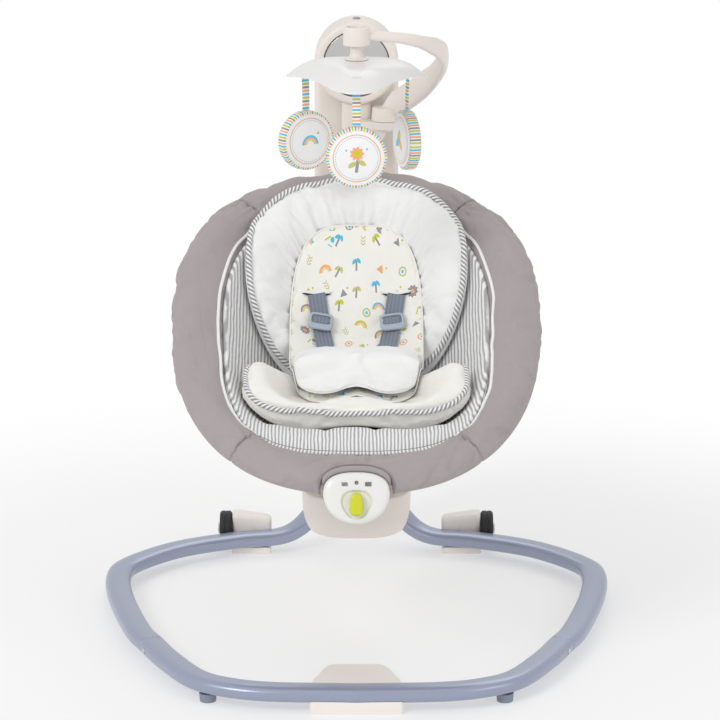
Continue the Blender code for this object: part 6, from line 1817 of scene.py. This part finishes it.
def padSurface(u, v):
    # the height of the made pad at (u, v), or of its plan where it doesn't reach
    hit = padTree.ray_cast(seatPoint(u, v, 0.15), -square)
    planned = padFloor(u, v) + innerPad["lift"] + innerPad["thick"]
    if hit[0] is None:
        return planned
    return max(planned - 0.0008, (hit[0] - seatPoint(u, v, 0.0)).dot(square))


def crotchOutline(angle):
    # a soft cloud with a dip above and a notch below
    du, dv = outlineOf(crotch, angle)
    if dv < 0:
        dv += 0.0052 * exp(-(du / 0.021) ** 2)
    else:
        dv -= 0.006 * exp(-((du - 0.006) / 0.024) ** 2)
    return du, dv


def crotchLow(u, v, share, angle):
    planned = padFloor(u, v) + innerPad["lift"] + innerPad["thick"]
    return planned + crotch["lift"] + crotch["arch"] * (1 - share**5)


def crotchHigh(u, v, share, angle):
    notch = -0.002 * exp(-(u / 0.007) ** 2) * ease((-(v - crotch["v"]) - 0.01) / 0.03)
    return crotchLow(u, v, share, angle) + 0.002 + (crotch["thick"] - 0.002) * edgeOf(share, 5, 0.5) + notch


def crotchFolds(point, normal):
    u, v, h = seatPlace(point)
    share = min(1.0, shareOf(crotch, u, v, 3.3))
    folds = pleat(angleOf(crotch, u, v) * 0.075, (1 - share) * 0.06, 0.0075, 0.012, 0.0011)
    folds += crease(u * 0.8 + v * 0.7, v - u * 0.6, 0.02, 0.06, 0.0005)
    return folds * (normal.dot(square) > 0.2)


makePad("crotchPad", "crotch_pad", crotch, whiteCloth, "white_cloth", edgeShares(5, 0.5, 0.8, 16, 9), crotchLow,
    crotchHigh, crotchFolds, crotchOutline)
edgeCord("crotchSeam", crotch, crotchOutline, 0.992, lambda u, v: crotchLow(u, v, 0.992, 0) + 0.0014, 160, 0.0009,
    8, whitePiping, "white_cloth")
print("padding built")


# Harness: ribbed webbing, sliders and slot flaps

harness = {
    "width": 0.025, "thick": 0.002, "lift": 0.0029, "top": (0.0555, 0.124), "foot": (0.038, 0.018),
    "slider": (0.034, 0.025, 0.0052), "sliderAt": 4 / 12, "waistV": -0.044, "waistReach": 0.08, "waistLift": 0.0023,
}


def strapMesh(stations, lift):
    rows = []
    last = len(stations) - 1
    section = oval(harness["width"] / 2, harness["thick"] / 2, 6.0, 36)
    for i in range(len(stations)):
        (u0, v0), (u1, v1) = stations[max(i - 1, 0)], stations[min(i + 1, last)]
        side = Vector((v1 - v0, u0 - u1)).normalized()
        row = []
        for a, b in section:
            u, v = stations[i][0] + side.x * a, stations[i][1] + side.y * a
            row.append(seatPoint(u, v, padSurface(u, v) + lift + harness["thick"] / 2 + b))
        rows.append(row)
    along = lengths([row[0] for row in rows])
    return skinMesh(rows, lambda i, j: (along[i], section[j % 36][0] + 0.0125))


def surfaceFrame(u, v, lift):
    step = 0.004
    middle = seatPoint(u, v, padSurface(u, v))
    across = seatPoint(u + step, v, padSurface(u + step, v)) - seatPoint(u - step, v, padSurface(u - step, v))
    up = seatPoint(u, v + step, padSurface(u, v + step)) - seatPoint(u, v - step, padSurface(u, v - step))
    across.normalize()
    out = across.cross(up).normalized()
    up = out.cross(across).normalized()
    return Matrix.Translation(middle + out * lift) @ Matrix((across, up, out)).transposed().to_4x4()


for side, name in ((-1, "left"), (1, "right")):
    (topU, topV), (footU, footV) = harness["top"], harness["foot"]
    stations = [(side * (topU + (footU - topU) * (i / 60)), topV + (footV - topV) * (i / 60)) for i in range(61)]
    seatPiece(name + "ShoulderStrap", strapMesh(stations, harness["lift"]), webbingCloth, "webbing",
        name + "_shoulder_strap")
    u, v = stations[int(60 * harness["sliderAt"])]
    wide, tall, thick = harness["slider"]
    place = surfaceFrame(u, v, harness["lift"] + harness["thick"] + 0.0026)
    place = place @ Matrix.Rotation(side * radians(9.0), 4, "Z")
    rows = []
    for high, inset in ((0.0, 0.0012), (0.0004, 0.0004), (0.0012, 0.0), (0.0036, 0.0), (0.0046, 0.0005),
            (0.0051, 0.0014), (0.0052, 0.0026)):
        rows.append([place @ Vector((x, y, high - 0.0008)) for x, y in oval(wide / 2 - inset, tall / 2 - inset, 5.0,
            72, pi / 72)])
    slider = seatPiece(name + "StrapSlider", skinMesh(rows), sliderPlastic, "grey_plastic", name + "_strap_slider")
    opening = oval(harness["width"] / 2 + 0.0006, 0.0064, 6.0, 48, pi / 48)
    window = skinMesh([[place @ Vector((x, y + 0.0022, high)) for x, y in opening] for high in (-0.02, 0.02)])
    cutFrom(slider, [window], sharpFrom=50.0)
    # the turn of strap that shows in the slider's window
    rows = []
    for i in range(13):
        t = i / 12 * 2 - 1
        high = thick * 0.3 + 0.0016 * (1 - t * t) ** 0.5
        rows.append([place @ Vector((a, 0.0022 + 0.0064 * t, high + b))
            for a, b in oval(harness["width"] / 2 - 0.0002, 0.0005, 6.0, 36)])
    along = lengths([row[0] for row in rows])
    marks = oval(harness["width"] / 2, 0.0005, 6.0, 36)
    web = skinMesh(rows, lambda i, j: (along[i], marks[j % 36][0] + 0.0125))
    seatPiece(name + "SliderWeb", web, webbingCloth, "webbing")
    # the bound slot that the strap comes out of: a white lip, and beside it a near-black sheet of painted shade for
    # the dark opening
    for part, low, high, rise, finish in (("SlotShade", -0.0016, 0.0004, 0.0012, slotShadeAndMarkInk),
            ("Lip", 0.0, 0.0034, 0.0019, whitePiping)):
        rows = []
        half = 0.0215 if part == "Lip" else 0.0205
        for i in range(25):
            a = (i / 24 * 2 - 1) * half
            taper = max(0.08, 1 - (a / half) ** 6)
            sag = 0.0012 * (a / half) ** 2
            middle = (low + high) / 2
            row = []
            for da, db in oval((high - low) / 2 * taper, rise * taper, 2.2, 14):
                u, v = side * topU + a, topV + middle + da + sag
                row.append(seatPoint(u, v, padSurface(u, v) + 0.003 + db))
            rows.append(row)
        seatPiece(name + "Strap" + part, skinMesh(rows), finish, "cream_cloth")
stations = [(harness["waistReach"] * (i / 40 - 1), harness["waistV"]) for i in range(81)]
seatPiece("waistStrap", strapMesh(stations, harness["waistLift"]), webbingCloth, "webbing", "waist_strap")
print("harness built")


# Seat frame under the liner

frameTube = 0.0085
hoopClear = frameTube + 0.0065


def underLiner(u, v, depth):
    across, along = slopes(wellHeight, u, v)
    steep = sqrt(1 + across**2)
    move = (seat["linerThick"] + depth) * sqrt(1 + across**2 + along**2) / steep
    return seatPoint(u + move * across / steep, v, wellHeight(u, v) - move / steep)


def hoopPath(v):
    share = asin(copysign((abs(v) / seat["halfLength"]) ** (seat["square"] / 2), v))
    wide = rimPoint(share).x
    inner = wide - seat["rollWidth"] - linerInset
    top = -0.011 - 0.0009
    half = [seatPoint(wide, v, top), seatPoint(wide, v, top - 0.026)]
    half += [underLiner(inner * s, v, hoopClear) for s in (0.82, 0.66, 0.44, 0.22, 0.0)]
    return smoothPath(half + [Vector((-p.x, p.y, p.z)) for p in half[:-1]][::-1], 10)


spine = smoothPath([underLiner(0.0, v, hoopClear + 0.001) for v in (-0.137, -0.07, -0.02, 0.04, 0.117)], 10)


def spineZ(y):
    near = min(spine, key=lambda spot: abs(spot.y - y))
    return near.z + (y - near.y) * tan(tilt) * 0.8


hubLow = arm["dockHigh"] + 0.011
rows = []
for share, wide, deep in ((0.0, 0.88, 0.86), (0.012, 0.925, 0.905), (0.035, 0.965, 0.955), (0.06, 0.99, 0.985),
        (0.1, 1.0, 1.0), (0.4, 0.99, 1.0), (0.6, 0.955, 0.985), (0.75, 0.88, 0.93), (0.88, 0.78, 0.84),
        (1.0, 0.66, 0.72)):
    rows.append([Vector((x, dockY + y, hubLow + (spineZ(dockY + y) - hubLow) * share))
        for x, y in oval(0.04 * wide, 0.032 * deep, 5.0, 64, pi / 64)])
hub = moulding("seatFrame", skinMesh(rows), "seat", "seat_frame")
parts = [skinMesh(sweepRows(spine, oval(0.019, 0.008, 3.5, 36, pi / 36)))]
parts += [cordMesh(hoopPath(v), frameTube, 20) for v in (-0.125, 0.105)]
cutFrom(hub, parts, "UNION")
cutFrom(hub, [reclineBore(0.08)], sharpFrom=35.0)


# Vibration unit on the roll's front, with its knob

unit = {
    "halfWidth": 0.0425, "height": 0.066, "reach": 0.0519, "drop": 0.0172, "tilt": 17.0,
    "knobDrop": 0.008, "knobLength": 0.029, "knobWidth": 0.017, "recess": 0.0036,
}
lean = radians(unit["tilt"])
out = Vector((0, -cos(lean), sin(lean)))
up = Vector((0, sin(lean), cos(lean)))
front = seatPoint(0.0, -seat["halfLength"], 0.0)
unitPlace = moveTo(0, front.y - unit["reach"], front.z - unit["drop"])
unitPlace = unitPlace @ Matrix((up.cross(out), up, out)).transposed().to_4x4()


def unitOutline(grow, count=96):
    points = []
    for i in range(count):
        angle = full * i / count
        c, s = cos(angle), sin(angle)
        power = 2.5 if s >= 0 else 2.05
        high = unit["height"] * (0.4 if s >= 0 else 0.6) + grow
        points.append(((unit["halfWidth"] + grow) * powered(c, power),
            unit["height"] * 0.1 + high * powered(s, power)))
    return points


def unitRows(grow, stations, lift=0.0):
    return [[unitPlace @ Vector((x, y + lift, depth)) for x, y in unitOutline(grow - inset)]
        for depth, inset in stations]


def unitFace(share, depth):
    low = unit["height"] * 0.02
    return [unitPlace @ Vector((x * share, low + (y - low) * share, depth)) for x, y in unitOutline(-0.012)]


rows = [unitFace(share, 0.0004 - 0.0009 * share**2) for share in (0.05, 0.3, 0.55, 0.78, 0.92)]
rows += unitRows(0.0, [(-0.0006, 0.0105), (-0.0012, 0.0065), (-0.0024, 0.0034), (-0.004, 0.0016), (-0.0062, 0.0005),
    (-0.01, 0.0), (-0.02, 0.0004), (-0.036, 0.002), (-0.044, 0.0045), (-0.049, 0.0068), (-0.052, 0.0095)])
unitBody = seatPiece("vibrationUnit", skinMesh(rows), whitePlastic, "white_plastic", "vibration_unit")
knobPlace = unitPlace @ moveTo(0, -unit["knobDrop"], 0)


def pick(size, count=72):
    # a rounded triangle, wide above
    points = []
    for i in range(count):
        angle = full * i / count
        reach = size * (1 + 0.075 * sin(3 * angle))
        points.append((reach * cos(angle), reach * sin(angle)))
    return points


rows = []
for depth, size in ((-unit["recess"], 0.015), (-unit["recess"] + 0.0004, 0.0172), (-0.0014, 0.0186),
        (0.0004, 0.0206), (0.01, 0.0216)):
    rows.append([knobPlace @ Vector((x, y, depth)) for x, y in pick(size)])
cutFrom(unitBody, [skinMesh(rows)], sharpFrom=28.0)
rows = []
for height, size in ((0.0, 0.985), (0.0008, 1.0), (0.005, 0.985), (0.0085, 0.955), (0.01, 0.925), (0.0111, 0.87),
        (0.0118, 0.78), (0.0122, 0.62), (0.0122, 0.3)):
    row = []
    for x, y in oval(unit["knobWidth"] / 2 * size, unit["knobLength"] / 2 * (0.35 + 0.65 * size), 3.2, 64):
        narrow = 1 - 0.16 * y / (unit["knobLength"] / 2)
        row.append(knobPlace @ Vector((x * narrow, y, height - unit["recess"] + clearance)))
    rows.append(row)
knob = skinMesh(rows)
addPiece("vibrationKnob", sharpen(knob, 45.0), limePlastic, "vibration_knob", "lime_plastic", "vibration_knob")


def wavyBand(middle, wide, swing, turns, thick=0.00075):
    rows = []
    for k in range(41):
        t = k / 40 * 2 - 1
        x = middle[0] + wide * t
        y = middle[1] + swing * sin(pi * turns * t)
        rows.append([unitPlace @ Vector((x, y + a, middle[2] + b)) for a, b in oval(thick / 2, 0.0003, 4.0, 10)])
    return skinMesh(rows)


marks = []
for k in range(3):
    marks.append(wavyBand((-0.015, 0.0158 + 0.0017 * k, 0.0001), 0.0038, 0.0005, 2.0, 0.0008))
    marks.append(wavyBand((0.015, 0.0157 + 0.0019 * k, 0.0001), 0.004, 0.00065, 2.5, 0.0011))
ringPath = [unitPlace @ Vector((0.002 * cos(full * k / 40), 0.0195 + 0.002 * sin(full * k / 40), 0.0004))
    for k in range(40)]
marks.append(cordMesh(ringPath, 0.0004, 8, True))
marks.append(wavyBand((0.0, 0.0195, 0.0003), 0.0016, 0.0, 1.0, 0.0006))
seatPiece("unitMarks", joinMeshes(marks), slotShadeAndMarkInk, "grey_plastic")

# the arched cut-out in the roll above the unit, bound with elastic
arch = [(0.02, 0.0), (-0.01, 0.0), (-0.036, 0.0), (-0.056, -0.002)]
notch = skinMesh(unitRows(0.005, [(d, -g) for d, g in arch], 0.0035))
cutFrom(rim, [notch], solver="FAST", sharpFrom=50.0)
rimTree = treeOf(rim)
path = []
outline = unitOutline(0.0054, 160)
for x, y in outline[-16:] + outline[:97]:
    if y < -0.006:
        continue
    start = unitPlace @ Vector((x, y + 0.0035, 0.03))
    hit = rimTree.ray_cast(start, -(unitPlace.to_3x3() @ Vector((0, 0, 1))))
    if hit[0] is not None and (hit[0] - start).length < 0.075:
        path.append(hit[0] + (start - hit[0]).normalized() * 0.0006)
if len(path) > 20:
    path = smoothPath(path[::4] + path[-1:], 6)
    seatPiece("unitBinding", cordMesh(path, 0.0017, 12), threadCloth, "taupe_cloth")
rows = []
inner, outer = unitOutline(0.0006, 160), unitOutline(0.005, 160)
for i in range(2, 79):
    (x, y), (a, b) = inner[i], outer[i]
    slim = ease(min(i - 2, 78 - i) / 12)
    a, b = x + (a - x) * slim, y + (b - y) * slim
    rows.append([unitPlace @ Vector(spot) for spot in ((a, b + 0.0032 * slim, -0.019),
        (a, b + 0.0032 * slim, -0.01), ((a + x) / 2, (b + y) / 2 + 0.0016, -0.0072), (x, y, -0.0092),
        (x, y, -0.019))])
seatPiece("unitPocket", skinMesh(rows), taupeCloth, "taupe_cloth")
print("seat frame and vibration unit built")


# Pieces that keep their CAD form

kept = {
    "left_front_foot": rubber, "right_front_foot": rubber, "left_snap_button": steel, "right_snap_button": steel,
    "left_wheel_axle": steel, "right_wheel_axle": steel, "battery_door": beigePlastic, "power_inlet": blackPlastic,
    "circuit_board": boardGreen, "drive_coil": copper, "speaker": greyPlastic, "pivot_bearing": steel,
    "pivot_shaft": steel, "drive_magnet_arm": steel, "recline_axle": steel, "mobile_hinge_pin": steel,
    "head_top_button": greyPlastic, "vibration_motor": steel, "harness_buckle": greyPlastic,
    "buckle_button": sliderPlastic,
}
rounding = {"battery_door": 0.0008, "drive_coil": 0.0012, "head_top_button": 0.0005, "harness_buckle": 0.0008}
for name, finish in kept.items():
    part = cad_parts[name]
    part.data.materials.clear()
    part.data.materials.append(finish)
    weld = part.modifiers.new("weld", "WELD")
    weld.merge_threshold = 0.00002
    bevel = part.modifiers.new("edge", "BEVEL")
    bevel.width = rounding.get(name, 0.0003)
    bevel.segments = 3
    bevel.limit_method = "ANGLE"
    bevel.angle_limit = radians(40.0)
    bevel.harden_normals = False
    part.data.shade_smooth()
    normals = part.modifiers.new("normals", "WEIGHTED_NORMAL")
    normals.keep_sharp = True


# Floor and backdrop

def makeFloor():
    finish, tree, shader = newFinish("paper", {"Base Color": rgb((0.9, 0.9, 0.9)), "Roughness": 0.9,
        "Specular IOR Level": 0.0})
    glow = node(tree, "Emission", {"Color": rgb((1, 1, 1)), "Strength": studio["backdrop"]})
    far = ramp(vectors("LENGTH", objectPlace(tree)), 0.55, 1.25, 0.45, 1.0, interpolation_type="SMOOTHSTEP")
    mixed = node(tree, "MixShader", {0: far, 1: shader.outputs[0], 2: glow.outputs[0]})
    feed(tree.nodes["Material Output"], "Surface", mixed.outputs[0])
    rows = []
    for k in range(9):
        radius = studio["floorRadius"] * (k / 8) ** 1.5 + 0.01
        rows.append([Vector((radius * cos(full * i / 64), radius * sin(full * i / 64), 0.0)) for i in range(64)])
    paper = loosePiece("floor", skinMesh(rows, caps=False))
    paper.data.materials.append(finish)
    paper.location.z = -0.0002
    shape = bmesh.new()
    shape.from_mesh(paper.data)
    if sum(f.normal.z for f in shape.faces) < 0:
        bmesh.ops.reverse_faces(shape, faces=shape.faces)
    hole = [e for e in shape.edges if e.is_boundary and e.verts[0].co.length < 0.02]
    bmesh.ops.contextual_create(shape, geom=hole)
    shape.to_mesh(paper.data)
    shape.free()


def makeWorld():
    # the lamps' room: bright where the camera and reflections look, softer as light
    world = bpy.data.worlds.new("room")
    scene.world = world
    world.use_nodes = True
    tree = world.node_tree
    background = tree.nodes["Background"]
    rays = node(tree, "LightPath")
    seen = maths("MAXIMUM", rays.outputs["Is Camera Ray"], rays.outputs["Is Transmission Ray"])
    seen = maths("MAXIMUM", seen, times(rays.outputs["Is Glossy Ray"], 0.8))
    strength = maths("MAXIMUM", times(seen, studio["backdrop"]), studio["ambient"])
    background.inputs["Color"].default_value = rgb((1, 1, 1))
    feed(background, "Strength", strength)


makeFloor()
makeWorld()
scene.view_settings.view_transform = "Standard"
